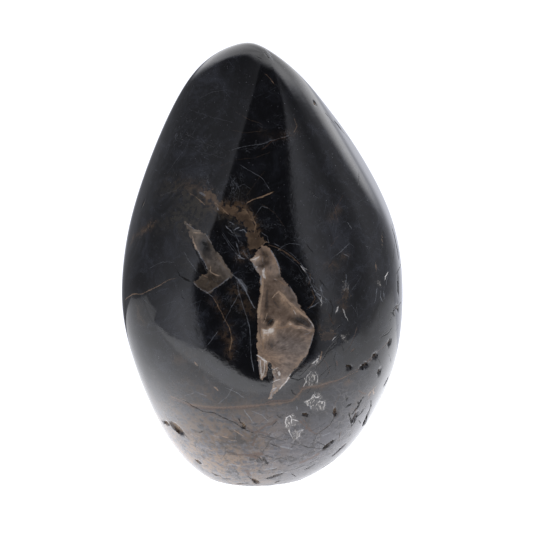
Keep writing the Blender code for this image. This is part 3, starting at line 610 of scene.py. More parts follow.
# Lines that lie clear of each other share a set of four numbers at each vertex
line_sets = []
for (tone, strength), half, path in lines:
    in_box = (surface > path.min(0) - LINE_BOX) & (surface < path.max(0) + LINE_BOX)
    close = np.flatnonzero(in_box.all(1))
    best, signed, beyond = along_path(surface[close], path)
    held = best < LINE_REACH + half
    near = close[held]
    for field, taken in line_sets:
        if not taken[near].any():
            break
    else:
        field, taken = np.zeros((len(surface), 4)), np.zeros(len(surface), bool)
        line_sets.append((field, taken))
    field[near, 0] = signed[held]
    field[near, 1] = half * np.clip(1 - beyond[held] / LINE_TAPER, 0, 1)
    field[near, 2:] = tone, strength
    taken[close[best < LINE_REACH + half + LINE_APART]] = True


# Flakes and patches: outlines on the front, then ragged patches on the unseen sides, each with
# its degrees round and up, its size in mm and a seed

PATCHES = {
    "tan": (
        (256, 250, 260, 248, 262, 246, 266, 246, 270, 249, 273, 254, 277, 261, 280, 269, 280.6, 275,
         283, 279, 287, 283, 290, 287, 293, 291, 296, 297, 297.6, 302, 301, 308, 305, 313, 309, 318,
         313, 324, 314.6, 328, 313.6, 335, 311.6, 343, 308.6, 350, 306, 356, 302, 361, 298, 366, 294, 370,
         291, 374, 288, 380, 284, 385, 280, 389, 276, 392, 272, 399, 268.6, 399.6, 270, 393, 271.6, 390,
         273, 387, 272, 383, 274, 380, 273, 376, 272.6, 369, 271, 364, 269, 362, 267.8, 365, 267.4, 372,
         265.6, 376, 263, 380, 261, 381.6, 259.4, 375, 258.2, 366, 257.8, 358, 257.2, 350, 257, 340,
         257.2, 330, 257.6, 318, 257.4, 312, 258.6, 305, 259.4, 296, 260.4, 286, 260, 276, 256, 270,
         253, 264, 250, 261, 250.6, 259, 254, 257, 255.6, 253.6),
    ),
    "dull": (
        # the flake to the left
        (184, 222, 189, 224, 194, 229, 200, 231, 203, 233, 206, 233, 209, 238, 212, 243, 213, 248, 217, 251,
         220, 256, 224, 261, 228, 266, 231, 271, 235, 276, 230, 278, 226, 281, 221, 285, 215, 289,
         210, 292.6, 207, 293.6, 203, 292, 199, 289, 195, 285, 193, 282, 198, 279.6, 200, 276, 202, 274.6,
         207, 274, 208, 271, 206, 266, 204, 262, 200, 257, 198, 252, 194, 246, 192, 241, 190, 238, 188, 234,
         187, 231, 190, 230, 186, 226),
    ),
    "brown": (
        (246, 232, 249, 229.6, 254, 230, 258, 232, 261, 236, 263, 240, 265, 243, 262, 246, 260, 248,
         257, 249, 255, 249.6, 251, 250, 248, 251, 247.6, 245, 247, 238),
        (240, 216, 244, 210, 250, 211, 252, 218, 255, 225, 256, 230, 249, 229, 244, 226),
        (204, 191.6, 209, 190, 214, 193, 217, 198, 224, 203, 233, 208, 242, 212, 247, 218, 244, 225,
         236, 219, 228, 213, 220, 209, 212, 203, 206, 197),
        (321, 334, 326, 331, 332, 330.6, 335, 333, 333, 338, 327, 341, 322, 339),
        (342, 293, 343.6, 290, 346, 289.6, 349, 293, 348.8, 298, 345.6, 300.4, 342.4, 298),
    ),
    "fibre": (
        (340, 335, 344, 334.6, 346.6, 332.6, 346, 337, 347.6, 340, 345, 342.6, 342, 340),
        (377, 283.6, 379.4, 279, 381.6, 277.4, 381, 282, 383.4, 287.6, 380, 285.6),
        (258, 358, 263, 357.6, 266, 361, 266, 372, 262, 379, 259.6, 374),
        (272.6, 369, 279, 367.6, 281, 372, 279.6, 378, 275, 381),
        # the tangles of white fibres low on the right
        (285, 417, 290, 414.6, 297, 419, 298, 424, 292, 427, 286, 427),
        (289, 429, 298, 430, 303, 430, 300.6, 438, 293.6, 439.6),
        (304, 401, 312, 396, 320, 394, 326, 401, 324, 410, 314, 410, 307, 407),
        (304, 387, 306, 377, 311, 371, 317, 374, 319, 382, 316, 386),
        (311, 365, 314, 361, 319, 356, 321, 361, 316, 366), (343, 282, 348, 283, 347.6, 291, 343, 290),
    ),
}
BACK_PATCHES = {
    "tan": ((152, 6, 5.0, 31), (-128, -24, 3.4, 32)),
    "dull": ((166, 14, 6.0, 41), (-150, 34, 4.2, 42), (118, -30, 3.6, 43), (-160, -12, 3.0, 44)),
    "brown": ((148, 13, 3.4, 33), (-132, -14, 2.6, 34)),
    "fibre": ((130, -38, 1.8, 51), (-142, -45, 1.6, 52), (-118, 20, 1.0, 53), (176, -48, 1.5, 54)),
}
FIELD_MOST = 3.0  # mm from an outline to which a patch's distances are held
PATCH_THROUGH = 8.0  # mm over and under the surface within which an unseen patch acts
PATCH_MARGIN_PX = 24


def filled(points, pixels, outline):
    """Distance in mm from the outline, positive inside it. A point is inside where a level
    sight line from its pixel crosses the outline an odd number of times."""
    corners = np.asarray(outline, float).reshape(-1, 2)
    following = np.roll(corners, -1, axis=0)
    odd = np.zeros(len(points), bool)
    for (x0, y0), (x1, y1) in zip(corners, following):
        crosses = (y0 > pixels[:, 1]) != (y1 > pixels[:, 1])
        odd ^= crosses & (pixels[:, 0] < x0 + (pixels[:, 1] - y0) * (x1 - x0) / (y1 - y0 + 1e-9))
    path = on_stone(np.concatenate([corners, corners[:1]]))
    return np.where(odd, 1, -1) * along_path(points, path)[0]


def blotch(points, round_deg, up_deg, size_mm, seed):
    """A ragged patch on an unseen side, longer one way: its radius is its size times a sum of
    seeded waves round it, finer ones smaller. The value is that radius less the distance from
    its middle."""
    place, level, upward, outward = local_frame(round_deg, up_deg)
    rng = np.random.default_rng(seed)
    offset = points - place
    lean = rng.uniform(0.6, 2.2)
    a = offset @ level * math.cos(lean) + offset @ upward * math.sin(lean)
    b = offset @ upward * math.cos(lean) - offset @ level * math.sin(lean)
    turn = np.arctan2(b, a)
    waves = sum(
        rng.uniform(0.25, 0.5) / k * np.sin(k * turn + rng.uniform(0, 6.28)) for k in (1, 2, 3, 4, 6, 9, 13)
    )
    radius = size_mm * (1 + waves) - np.hypot(a * 0.6, b * 1.5)
    return np.where(np.abs(offset @ outward) < PATCH_THROUGH, radius, -FIELD_MOST)


for name, outlines in PATCHES.items():
    field = np.full(len(surface), -FIELD_MOST)
    for outline in outlines:
        here = close_by(outline, PATCH_MARGIN_PX)
        field[here] = np.maximum(field[here], filled(surface[here], pixel_of[here], outline))
    for place in BACK_PATCHES[name]:
        field = np.maximum(field, blotch(surface, *place))
    fields[name] = np.clip(field, -FIELD_MOST, FIELD_MOST)


# Soft strokes: rust that soaked in along old cracks, dull veils, pale webs, where the flakes are
# greyer, and where they are lighter or darker: their relief as painted highlights on ridges, bumps
# and edges and painted shade in pits and hollows, with some tone of their own. Each is an amount,
# a half width in mm and a path in pixels. The unseen sides have ragged patches instead: an amount,
# and a place like those above.

STROKES = {
    "stain": (
        (0.5, 1.7, 180, 183, 192, 186, 205, 190), (0.75, 1.5, 208, 200, 222, 207, 236, 212, 246, 218),
        (0.6, 1.2, 232, 206, 244, 205, 250, 214, 258, 232),
        (1.1, 1.1, 131, 241, 137, 235, 142, 231, 153, 224), (0.35, 1.8, 138, 308, 141, 320),
        (0.5, 1.6, 236, 290, 244, 302, 250, 312), (0.5, 1.1, 222, 335, 230, 345, 229, 358),
        (0.45, 1.2, 214, 300, 226, 318, 232, 340), (0.6, 0.9, 322, 328, 332, 322),
        (0.6, 1.4, 240, 258, 246, 252), (0.25, 1.0, 262, 133, 284, 137, 296, 130),
        (0.3, 1.0, 332, 218, 338, 210), (0.35, 1.2, 326, 266, 334, 266), (0.4, 0.8, 342, 257, 346, 255),
        (0.45, 1.0, 341, 303, 344, 308), (0.3, 2.2, 196, 374, 206, 386, 214, 398),
        (0.35, 1.6, 176, 360, 190, 358), (0.7, 1.8, 172, 424, 196, 436, 214, 440, 232, 436, 254, 436),
        (0.6, 1.7, 205, 424, 226, 430, 244, 440), (0.5, 2.4, 216, 444, 236, 446, 256, 444),
        (0.7, 0.6, 182, 402, 215, 408, 262, 406, 292, 401), (0.7, 0.9, 262, 403, 276, 402, 292, 400),
        (0.8, 1.2, 297, 396, 306, 387, 320, 386), (0.5, 1.1, 326, 383, 340, 379, 352, 378),
        (0.45, 1.0, 346, 384, 358, 366), (0.4, 1.2, 360, 396, 372, 392), (0.4, 1.0, 352, 412, 358, 402),
        (0.5, 1.2, 305, 420, 308, 428), (0.5, 1.0, 253, 455, 262, 456), (0.4, 1.4, 300, 369, 318, 366),
        (0.4, 0.9, 268, 444, 278, 446),
    ),
    "veil": (
        (0.8, 2.4, 176, 188, 192, 194, 204, 208), (0.7, 2.6, 188, 206, 192, 218, 198, 226),
        (0.6, 2.4, 176, 216, 184, 224, 190, 236), (0.7, 1.8, 208, 206, 222, 212, 236, 222),
        (0.5, 2.0, 160, 226, 172, 220), (0.4, 2.0, 184, 262, 196, 270), (0.5, 2.4, 168, 182, 160, 192),
        (0.5, 2.2, 236, 296, 246, 306), (0.4, 2.0, 312, 284, 322, 300), (0.5, 2.2, 324, 316, 330, 330),
        (0.3, 3.0, 228, 210, 240, 196),
    ),
    "web": (
        (0.8, 3.0, 226, 240, 240, 252, 256, 268), (0.5, 3.0, 232, 148, 262, 142, 288, 136),
        (0.6, 3.5, 222, 178, 232, 200, 244, 214), (0.5, 3.0, 270, 232, 292, 246),
        (0.6, 2.0, 302, 272, 316, 292, 326, 304), (0.4, 4.0, 236, 300, 246, 340),
        (0.3, 5.0, 170, 130, 200, 150, 210, 180), (0.4, 3.0, 280, 330, 300, 380),
    ),
    # the flakes' relief: painted highlights (positive amounts) and painted shade (negative), with some tone
    # of their own
    "flake_tone_and_painted_light": (
        (0.1, 0.7, 262.6, 284, 262, 300, 260.4, 316), (0.16, 1.0, 284, 300, 296, 313),
        (0.42, 0.6, 263, 330.6, 266, 332.6, 271, 330.4), (0.3, 0.8, 271.6, 329, 275, 325, 277, 321.6),
        (0.25, 1.0, 264, 336.4, 271, 335), (0.16, 1.4, 277, 328, 288, 327),
        (0.3, 0.5, 290, 323, 296, 327, 306, 329, 311, 330), (-0.3, 0.8, 266.6, 319, 272, 323),
        (-0.3, 0.5, 268.6, 325, 272, 321), (-0.12, 2.0, 274, 306, 284, 318),
        (-0.12, 1.6, 266, 292, 267, 308), (-0.34, 0.9, 296, 318, 303, 321.6, 308, 325.6),
        (-0.2, 0.7, 292, 320, 298, 324), (0.12, 1.0, 259.6, 338, 260, 352), (0.1, 1.6, 276, 356, 284, 360),
        (-0.12, 1.2, 270.6, 345, 274, 349), (-0.1, 1.6, 284, 336, 296, 338),
        (0.14, 0.8, 311, 342, 306, 352, 300, 361), (0.24, 0.8, 253, 258.6, 258, 257.6),
        (0.2, 0.8, 254, 263, 257, 270), (-0.2, 0.9, 262, 252, 268, 256), (-0.2, 0.7, 262, 266, 266, 262),
        (0.12, 1.2, 273, 258, 277, 268), (0.22, 0.5, 263.8, 270, 264, 277), (0.1, 1.4, 194, 231, 200, 235),
        (-0.4, 1.0, 203, 241.6, 206.6, 246), (0.12, 1.4, 222, 262, 228, 272),
        (-0.2, 0.9, 202, 250, 206, 256), (-0.16, 1.2, 212, 280, 220, 282), (-0.1, 1.4, 200, 284, 206, 288),
        (-0.2, 0.8, 196, 224, 190, 228), (0.16, 0.6, 195, 246, 202, 258), (-0.3, 1.8, 322, 336, 332, 336),
        (-0.25, 1.3, 345, 291, 345, 299),
    ),
    "greyer": (
        (0.7, 3.6, 284, 344, 300, 348), (0.5, 2.4, 288, 366, 282, 378), (0.5, 1.2, 286, 288, 298, 303),
        (0.7, 1.2, 298, 320, 308, 326), (0.4, 1.6, 272, 268, 278, 274), (0.5, 1.2, 256, 262, 258, 270),
        (0.5, 2.4, 210, 258, 226, 272), (0.6, 1.6, 204, 244, 208, 250),
    ),
}
SOAKED = {
    "stain": (
        (0.5, 160, 12, 9.0, 61), (0.45, -140, 26, 7.0, 62), (0.4, 125, -36, 7.0, 63),
        (0.35, -165, -28, 6.0, 64),
    ),
    "veil": ((0.7, 150, 24, 7.0, 81), (0.6, -146, -2, 8.0, 82), (0.5, 120, 4, 6.0, 83)),
    "web": ((0.5, 145, 22, 9.0, 71), (0.5, -155, 4, 10.0, 72), (0.4, -120, 40, 6.0, 73)),
}
SOAK_MM = 3.0  # over which an unseen patch's edge fades

# A stroke falls off as exp(-(distance / half width) squared), a patch evenly across its edge
for name, parts in STROKES.items():
    field = np.zeros(len(surface))
    for amount, half, *path in parts:
        here = close_by(path, 14 * half + 8)
        away = along_path(surface[here], on_stone(path))[0]
        field[here] += amount * np.exp(-((away / half) ** 2))
    for amount, *place in SOAKED.get(name, ()):
        field += amount * np.clip(0.5 + blotch(surface, *place) / SOAK_MM, 0, 1)
    fields[name] = field

for name, field in fields.items():
    stone_mesh.attributes.new(name, "FLOAT", "POINT").data.foreach_set("value", field.astype(np.float32))
for k, (field, _) in enumerate(line_sets):
    attribute = stone_mesh.attributes.new(f"lines_{k}", "FLOAT_COLOR", "POINT")
    attribute.data.foreach_set("color", field.astype(np.float32).ravel())


# Its material: smoky quartz, opaque at this thickness, with a hand polish. The body is nearly
# black, hazy towards the foot where it is full of fine cracks. Quartz's IOR is 1.544, so it
# mirrors strongly at the rims and stays dark where it faces the viewer.


def linear(hex_colour):
    """sRGB hex to linear: ((c + 0.055) / 1.055) ** 2.4, or c / 12.92 in the darkest part."""
    parts = [int(hex_colour[k : k + 2], 16) / 255 for k in (1, 3, 5)]
    return (*[p / 12.92 if p <= 0.04045 else ((p + 0.055) / 1.055) ** 2.4 for p in parts], 1.0)


def add(tree, kind, inputs=None, stops=(), **settings):
    """Adds a shader node of a kind with its settings, and gives its outputs. Each input, by
    number or name, takes a value, or is linked where it is given a socket. Stops are a colour
    ramp's places and colours."""
    made = tree.nodes.new("ShaderNode" + kind)
    for name, value in settings.items():
        setattr(made, name, value)
    for key, value in (inputs or {}).items():
        if isinstance(value, bpy.types.NodeSocket):
            tree.links.new(value, made.inputs[key])
        else:
            made.inputs[key].default_value = value
    for _ in stops[2:]:
        made.color_ramp.elements.new(0.5)
    for k, (position, colour) in enumerate(stops):
        made.color_ramp.elements[k].position = position
        made.color_ramp.elements[k].color = colour
    return made.outputs


quartz = bpy.data.materials.new("polished_smoky_quartz")
quartz.use_nodes = True
tree = quartz.node_tree
shader = tree.nodes["Principled BSDF"]
place = add(tree, "TexCoord")["Object"]
mm = add(tree, "VectorMath", {0: place, "Scale": 1000.0}, operation="SCALE")["Vector"]
at = add(tree, "SeparateXYZ", {0: mm})
field_of = {name: add(tree, "Attribute", attribute_name=name)["Fac"] for name in fields}
STEP = {"interpolation_type": "SMOOTHSTEP"}

# Irregularities: clouds of 14 mm, mottling of 4 mm, ragged edges of 1 mm, grain of 0.35 mm, wisps
# of 9 mm and mist of 2 mm. Each has its scale per mm, detail, roughness and distortion. The
# finest are drawn a little coarser than the real ones, which a pixel would hide. The layers lie
# level, 1 mm high and five times as long.
level_mm = add(tree, "VectorMath", {0: mm, 1: (0.2, 0.2, 1.0)}, operation="MULTIPLY")["Vector"]
clouds, mottle, ragged, grain, wisps, mist, layers = [
    add(tree, "TexNoise", {"Vector": v, "Scale": s, "Detail": d, "Roughness": r, "Distortion": bend})["Fac"]
    for v, s, d, r, bend in (
        (mm, 0.07, 4.0, 0.6, 0.0), (mm, 0.26, 5.0, 0.65, 0.6), (mm, 0.9, 3.0, 0.6, 0.0),
        (mm, 2.8, 2.0, 0.6, 0.0), (mm, 0.11, 8.0, 0.7, 1.8), (mm, 0.55, 5.0, 0.75, 0.8),
        (level_mm, 0.75, 5.0, 0.65, 0.5),
    )
]

# How far a drawn edge wanders, in mm
wander = -0.8
for texture, share in ((ragged, 1.1), (grain, 0.5)):
    wander = add(tree, "Math", {0: texture, 1: share, 2: wander}, operation="MULTIPLY_ADD")[0]

# Each coat is laid over the ones before it: one or more shares, which are multiplied to give how
# much of it shows, and its colour
coats = []

# Smoke: blue-grey wisps and a finer mist, mostly to both sides of the clear black middle, and
# scratches left by the wheel, 8 mm long
aside = add(tree, "Math", {0: at["X"], 1: 3.0}, operation="SUBTRACT")[0]
aside = add(tree, "Math", {0: aside}, operation="ABSOLUTE")[0]
aside = add(tree, "MapRange", {0: aside, 1: 3.0, 2: 15.0, 3: 0.35}, **STEP)[0]
smoke = add(tree, "MapRange", {0: wisps, 1: 0.45, 2: 0.74}, **STEP)[0]
coats.append((smoke, aside, linear("#2a2c33")))
mist = add(tree, "MapRange", {0: mist, 1: 0.52, 2: 0.78, 4: 0.5}, **STEP)[0]
coats.append((mist, aside, linear("#454851")))
cloudy = add(tree, "MapRange", {0: clouds, 1: 0.46, 2: 0.62}, **STEP)[0]
for lean, stretch in ((0.45, (0.12, 0.12, 2.6)), (-0.75, (0.1, 0.1, 3.4)), (1.35, (0.14, 0.14, 3.0))):
    turn = {"Vector": mm, "Rotation": (0.0, lean, 0.0)}
    turned_mm = add(tree, "VectorRotate", turn, rotation_type="EULER_XYZ")[0]
    long_mm = add(tree, "VectorMath", {0: turned_mm, 1: stretch}, operation="MULTIPLY")["Vector"]
    scratch = add(tree, "TexNoise", {"Vector": long_mm, "Scale": 1.0, "Detail": 2.0, "Roughness": 0.5})["Fac"]
    scratch = add(tree, "MapRange", {0: scratch, 1: 0.66, 2: 0.8, 4: 0.4}, **STEP)[0]
    coats.append((scratch, cloudy, linear("#5a5f69")))

# The cloudy foot rises higher on the right than on the left, with a ragged top. It is layered
# grey, tan at the left, and bluish at the right.
foot_top = add(tree, "Math", {0: at["X"], 1: 0.16, 2: 18.0}, operation="MULTIPLY_ADD")[0]
foot_top = add(tree, "Math", {0: clouds, 1: 26.0, 2: foot_top}, operation="MULTIPLY_ADD")[0]
below = add(tree, "Math", {0: foot_top, 1: at["Z"]}, operation="SUBTRACT")[0]
foot = add(tree, "MapRange", {0: below, 1: -8.0, 2: 22.0}, **STEP)[0]
leftward = add(tree, "MapRange", {0: at["X"], 1: 14.0, 2: -10.0, 3: 0.12, 4: 1.0}, **STEP)[0]
rightward = add(tree, "MapRange", {0: at["X"], 1: 2.0, 2: 20.0, 4: 0.8}, **STEP)[0]
tan_spots = add(tree, "Math", {0: mottle, 1: ragged}, operation="ADD")[0]
tan_spots = add(tree, "MapRange", {0: tan_spots, 1: 0.88, 2: 1.12}, **STEP)[0]
tan_spots = add(tree, "Math", {0: tan_spots, 1: leftward}, operation="MULTIPLY")[0]
dark_spots = add(tree, "MapRange", {0: ragged, 1: 0.56, 2: 0.68, 4: 0.6}, **STEP)[0]
patches = add(tree, "Math", {0: ragged, 1: 0.5, 2: mottle}, operation="MULTIPLY_ADD")[0]
patches = add(tree, "MapRange", {0: patches, 1: 0.64, 2: 0.86}, **STEP)[0]
right_colour = add(tree, "Mix", {0: patches, 6: linear("#2b2a31"), 7: linear("#48474d")}, data_type="RGBA")[2]
paler = add(tree, "MapRange", {0: layers, 1: 0.4, 2: 0.62}, **STEP)[0]
foot_colour = linear("#454449")
for share, over in (
    (paler, linear("#636063")), (tan_spots, linear("#7b6754")), (dark_spots, linear("#2b2623")),
    (rightward, right_colour),
):
    foot_colour = add(tree, "Mix", {0: share, 6: foot_colour, 7: over}, data_type="RGBA")[2]
coats.append((foot, foot_colour))

# Fine cracks in the foot: the borders between cells of 6 to 2 mm, bent and broken up
bend = add(tree, "TexNoise", {"Vector": mm, "Scale": 0.5, "Detail": 3.0})["Color"]
bent_mm = add(tree, "VectorMath", {0: bend, 1: (2.4, 2.4, 2.4), 2: mm}, operation="MULTIPLY_ADD")["Vector"]
unbroken = add(tree, "MapRange", {0: mottle, 1: 0.46, 2: 0.56, 3: 1.0, 4: 0.0}, **STEP)[0]
for scale, thin, share, code in (
    (0.17, 0.06, 0.9, "#1b1513"), (0.36, 0.08, 0.45, "#33261d"), (0.5, 0.08, 0.35, "#8f8a88"),
):
    cell = {"Vector": bent_mm, "Scale": scale}
    border = add(tree, "TexVoronoi", cell, feature="DISTANCE_TO_EDGE")["Distance"]
    border = add(tree, "MapRange", {0: border, 1: 0.0, 2: thin, 3: share, 4: 0.0}, **STEP)[0]
    coats.append((border, unbroken, foot, linear(code)))

# Filaments: hair-thin healed cracks, each where a noise passes through one half. They show
# strongly only in places.
strong = add(tree, "MapRange", {0: clouds, 1: 0.4, 2: 0.62, 3: 0.2, 4: 0.8}, **STEP)[0]
strong = add(tree, "Math", {0: field_of["web"], 1: strong, 2: 0.05}, operation="MULTIPLY_ADD")[0]
piece = add(tree, "MapRange", {0: mottle, 1: 0.44, 2: 0.58}, **STEP)[0]
for scale, thin, share in ((0.16, 0.007, 0.75), (0.38, 0.012, 0.7), (0.75, 0.016, 0.5)):
    flowing = {"Vector": mm, "Scale": scale, "Detail": 3.0, "Roughness": 0.55, "Distortion": 0.9}
    off = add(tree, "Math", {0: add(tree, "TexNoise", flowing)["Fac"], 1: 0.5}, operation="SUBTRACT")[0]
    off = add(tree, "Math", {0: off}, operation="ABSOLUTE")[0]
    hair = add(tree, "MapRange", {0: off, 1: 0.0, 2: thin, 3: share, 4: 0.0}, **STEP)[0]
    coats.append((hair, piece, strong, linear("#9599a1")))

# Dull olive veils, then rust that soaked in along old cracks, both broken up by the mottling
torn = add(tree, "MapRange", {0: ragged, 1: 0.4, 2: 0.56, 3: 0.12, 4: 1.0}, **STEP)[0]
veil, rust = [
    add(tree, "Math", {0: field_of[name], 1: torn}, operation="MULTIPLY", use_clamp=True)[0]
    for name in ("veil", "stain")
]
coats.append((veil, 0.85, linear("#35312a")))
rusty = add(tree, "MapRange", {0: mottle, 1: 0.4, 2: 0.6}, **STEP)[0]
rust_colour = add(tree, "Mix", {0: rusty, 6: linear("#2b221b"), 7: linear("#5d4a39")}, data_type="RGBA")[2]
coats.append((rust, rust_colour))

# Flakes: painted light and shade of their relief inside them, over a tone that varies at random,
# with paler edges painted as a highlight along each edge. Each has a share of the colour, how
# ragged its edge is, and a warm and a grey scale of tones, from dark to light. A fine grain fans
# out from the main flake's notch.
fan_x = add(tree, "Math", {0: at["X"], 1: 2.0}, operation="SUBTRACT")[0]
fan_z = add(tree, "Math", {0: at["Z"], 1: 41.0}, operation="SUBTRACT")[0]
fan = add(tree, "Math", {0: fan_z, 1: fan_x}, operation="ARCTAN2")[0]
far = add(tree, "CombineXYZ", {0: fan_x, 1: fan_z})[0]
far = add(tree, "VectorMath", {0: far}, operation="LENGTH")["Value"]
far = add(tree, "Math", {0: far, 1: 0.03}, operation="MULTIPLY")[0]
fan_at = add(tree, "CombineXYZ", {0: fan, 1: far})[0]
fanned = add(tree, "TexNoise", {"Vector": fan_at, "Scale": 9.0, "Detail": 3.0, "Roughness": 0.6})["Fac"]
# Tone inside the flakes: their painted light and shade from the strokes, and the noises
light = add(tree, "Math", {0: field_of["flake_tone_and_painted_light"], 1: 0.23}, operation="SUBTRACT")[0]
for texture, share in ((ragged, 0.55), (mottle, 0.4), (fanned, 0.5)):
    light = add(tree, "Math", {0: texture, 1: share, 2: light}, operation="MULTIPLY_ADD")[0]
FLAKES = (
    ("brown", 0.75, 3.0,
     "#1a1411 #3a2e24 #5d4c3d #7b6752 #a08a70", "#1d1b1a #433d39 #635a52 #83786d #a39789"),
    ("dull", 0.9, 1.4,
     "#171412 #3a322a #63574b #8c7f71 #bcae9e", "#161616 #3a3837 #605b57 #8b8580 #b8b2ad"),
    ("tan", 1.0, 1.1,
     "#241d18 #594b40 #857263 #b3977d #efe4d8", "#222120 #524d49 #807873 #a69d97 #dedad7"),
)
for name, share, ragged_by, *scales in FLAKES:
    edge = add(tree, "Math", {0: wander, 1: ragged_by, 2: field_of[name]}, operation="MULTIPLY_ADD")[0]
    # Paler edges: a painted highlight along each flake's edge
    rim = add(tree, "MapRange", {0: edge, 1: 0.1, 2: 0.5, 3: 0.07, 4: 0.0}, **STEP)[0]
    tone = add(tree, "Math", {0: light, 1: rim}, operation="ADD")[0]
    warm, grey = [
        add(tree, "ValToRGB", {0: tone}, [(k / 4, linear(code)) for k, code in enumerate(codes.split())])[0]
        for codes in scales
    ]
    shade = add(tree, "Mix", {0: field_of["greyer"], 6: warm, 7: grey}, data_type="RGBA")[2]
    coats.append((add(tree, "MapRange", {0: edge, 1: -0.08, 2: 0.14, 4: share}, **STEP)[0], shade))

# White fibres: tangled strands, drawn 0.3 mm apart
strands_mm = add(tree, "VectorMath", {0: mm, 1: (1.0, 1.0, 0.35)}, operation="MULTIPLY")["Vector"]
tangled = {"Vector": strands_mm, "Scale": 1.9, "Detail": 4.0, "Roughness": 0.65, "Distortion": 1.2}
strands = add(tree, "TexNoise", tangled)["Fac"]
strands = add(tree, "MapRange", {0: strands, 1: 0.5, 2: 0.65, 3: 0.05, 4: 0.85}, **STEP)[0]
edge = add(tree, "Math", {0: wander, 1: 3.2, 2: field_of["fibre"]}, operation="MULTIPLY_ADD")[0]
inside = add(tree, "MapRange", {0: edge, 1: -0.4, 2: 0.8}, **STEP)[0]
coats.append((inside, strands, linear("#d8d2c9")))

# Lines: each set's fields hold the distance across, the half width, the tone and the strength
LINE_TONES = (
    (0.0, "#0b0908"), (0.13, "#241b15"), (0.3, "#4a3325"), (0.55, "#9a8068"), (0.68, "#cdb196"),
    (0.8, "#999da4"), (1.0, "#efebe6"),
)
uneven = add(tree, "MapRange", {0: mottle, 1: 0.35, 2: 0.65, 3: 0.5, 4: 1.35})[0]
frayed = add(tree, "MapRange", {0: grain, 1: 0.34, 2: 0.54, 3: 0.5, 4: 1.0}, **STEP)[0]
groove = 0.0
for k in range(len(line_sets)):
    held = add(tree, "Attribute", attribute_name=f"lines_{k}")
    line = add(tree, "SeparateXYZ", {0: held["Vector"]})
    across = add(tree, "Math", {0: wander, 1: 0.45, 2: line["X"]}, operation="MULTIPLY_ADD")[0]
    across = add(tree, "Math", {0: across}, operation="ABSOLUTE")[0]
    width = add(tree, "Math", {0: line["Y"], 1: uneven}, operation="MULTIPLY")[0]
    within = add(tree, "Math", {0: width, 1: across}, operation="SUBTRACT")[0]
    mark = add(tree, "MapRange", {0: within, 1: -0.04, 2: LINE_SOFT}, **STEP)[0]
    for share in (held["Alpha"], frayed):
        mark = add(tree, "Math", {0: mark, 1: share}, operation="MULTIPLY")[0]
    tone = add(tree, "ValToRGB", {0: line["Z"]}, [(stop, linear(code)) for stop, code in LINE_TONES])[0]
    coats.append((mark, tone))
    is_open = add(tree, "MapRange", {0: line["Z"], 1: 0.02, 2: 0.45, 3: 1.0, 4: 0.0})[0]
    crack = add(tree, "Math", {0: mark, 1: is_open}, operation="MULTIPLY")[0]
    groove = add(tree, "Math", {0: crack, 1: groove}, operation="MAXIMUM")[0]

# Sparkles: single grains of about 0.1 to 0.2 mm, a third of them bright
cells = add(tree, "TexVoronoi", {"Vector": mm, "Scale": 1.3})
pick = add(tree, "SeparateColor", {0: cells["Color"]})
chosen = add(tree, "MapRange", {0: pick[0], 1: 0.55, 2: 0.95, 4: 0.6})[0]
speck = add(tree, "MapRange", {0: cells["Distance"], 1: 0.04, 2: 0.13, 3: 1.0, 4: 0.0}, **STEP)[0]
coats.append((speck, chosen, linear("#9c9da4")))

# Inside the pits: rough, dark and a little rusty, and paler in the tan foot at the left
pit = add(tree, "MapRange", {0: field_of["pit"], 1: 0.3, 2: 0.9}, **STEP)[0]
rusty_pit, tan_pit = [
    add(tree, "Mix", {0: ragged, 6: linear(dark), 7: linear(pale)}, data_type="RGBA")[2]
    for dark, pale in (("#1c1612", "#75604c"), ("#7c6a59", "#c8b59e"))
]
pit_colour = add(tree, "Mix", {0: leftward, 6: rusty_pit, 7: tan_pit}, data_type="RGBA")[2]
coats.append((pit, 0.85, pit_colour))

colour = linear("#09090c")
for share, *others, coat in coats:
    for other in others:
        share = add(tree, "Math", {0: share, 1: other}, operation="MULTIPLY")[0]
    colour = add(tree, "Mix", {0: share, 6: colour, 7: coat}, data_type="RGBA")[2]
tree.links.new(colour, shader.inputs["Base Color"])

worn = add(tree, "MapRange", {0: foot, 1: 0.0, 2: 1.0, 3: 0.06, 4: 0.16})[0]
smears = add(tree, "MapRange", {0: wisps, 1: 0.5, 2: 0.8, 3: 0.0, 4: 0.05})[0]
worn = add(tree, "Math", {0: worn, 1: smears}, operation="ADD")[0]
broken = add(tree, "Math", {0: groove, 1: pit}, operation="MAXIMUM")[0]
rough = add(tree, "Math", {0: broken, 1: 0.95}, operation="MULTIPLY")[0]
tree.links.new(add(tree, "Math", {0: worn, 1: rough}, operation="MAXIMUM")[0], shader.inputs["Roughness"])
shader.inputs["IOR"].default_value = 1.544
shader.inputs["Metallic"].default_value = 0.0

# Relief in mm: open cracks 0.03 deep, and the wheel's faint unevenness
relief = 0.0
for texture, height in ((mottle, 0.02), (ragged, 0.004), (groove, -0.03)):
    relief = add(tree, "Math", {0: texture, 1: height, 2: relief}, operation="MULTIPLY_ADD")[0]
relief = add(tree, "Math", {0: relief, 1: 0.001}, operation="MULTIPLY")[0]
bump = add(tree, "Bump", {"Height": relief, "Strength": 1.0, "Distance": 1.0})[0]
tree.links.new(bump, shader.inputs["Normal"])
stone_mesh.materials.append(quartz)


# Floor and light. The stone stands on a sheet of white cloth inside a tent of the same cloth. The
# sheet is no lamp but glows as painted light: brightest round the stone, it ends in front of it
# with a brighter hem. The tent has one dark opening, in front, and a lit roof that comes lowest
# behind the stone.

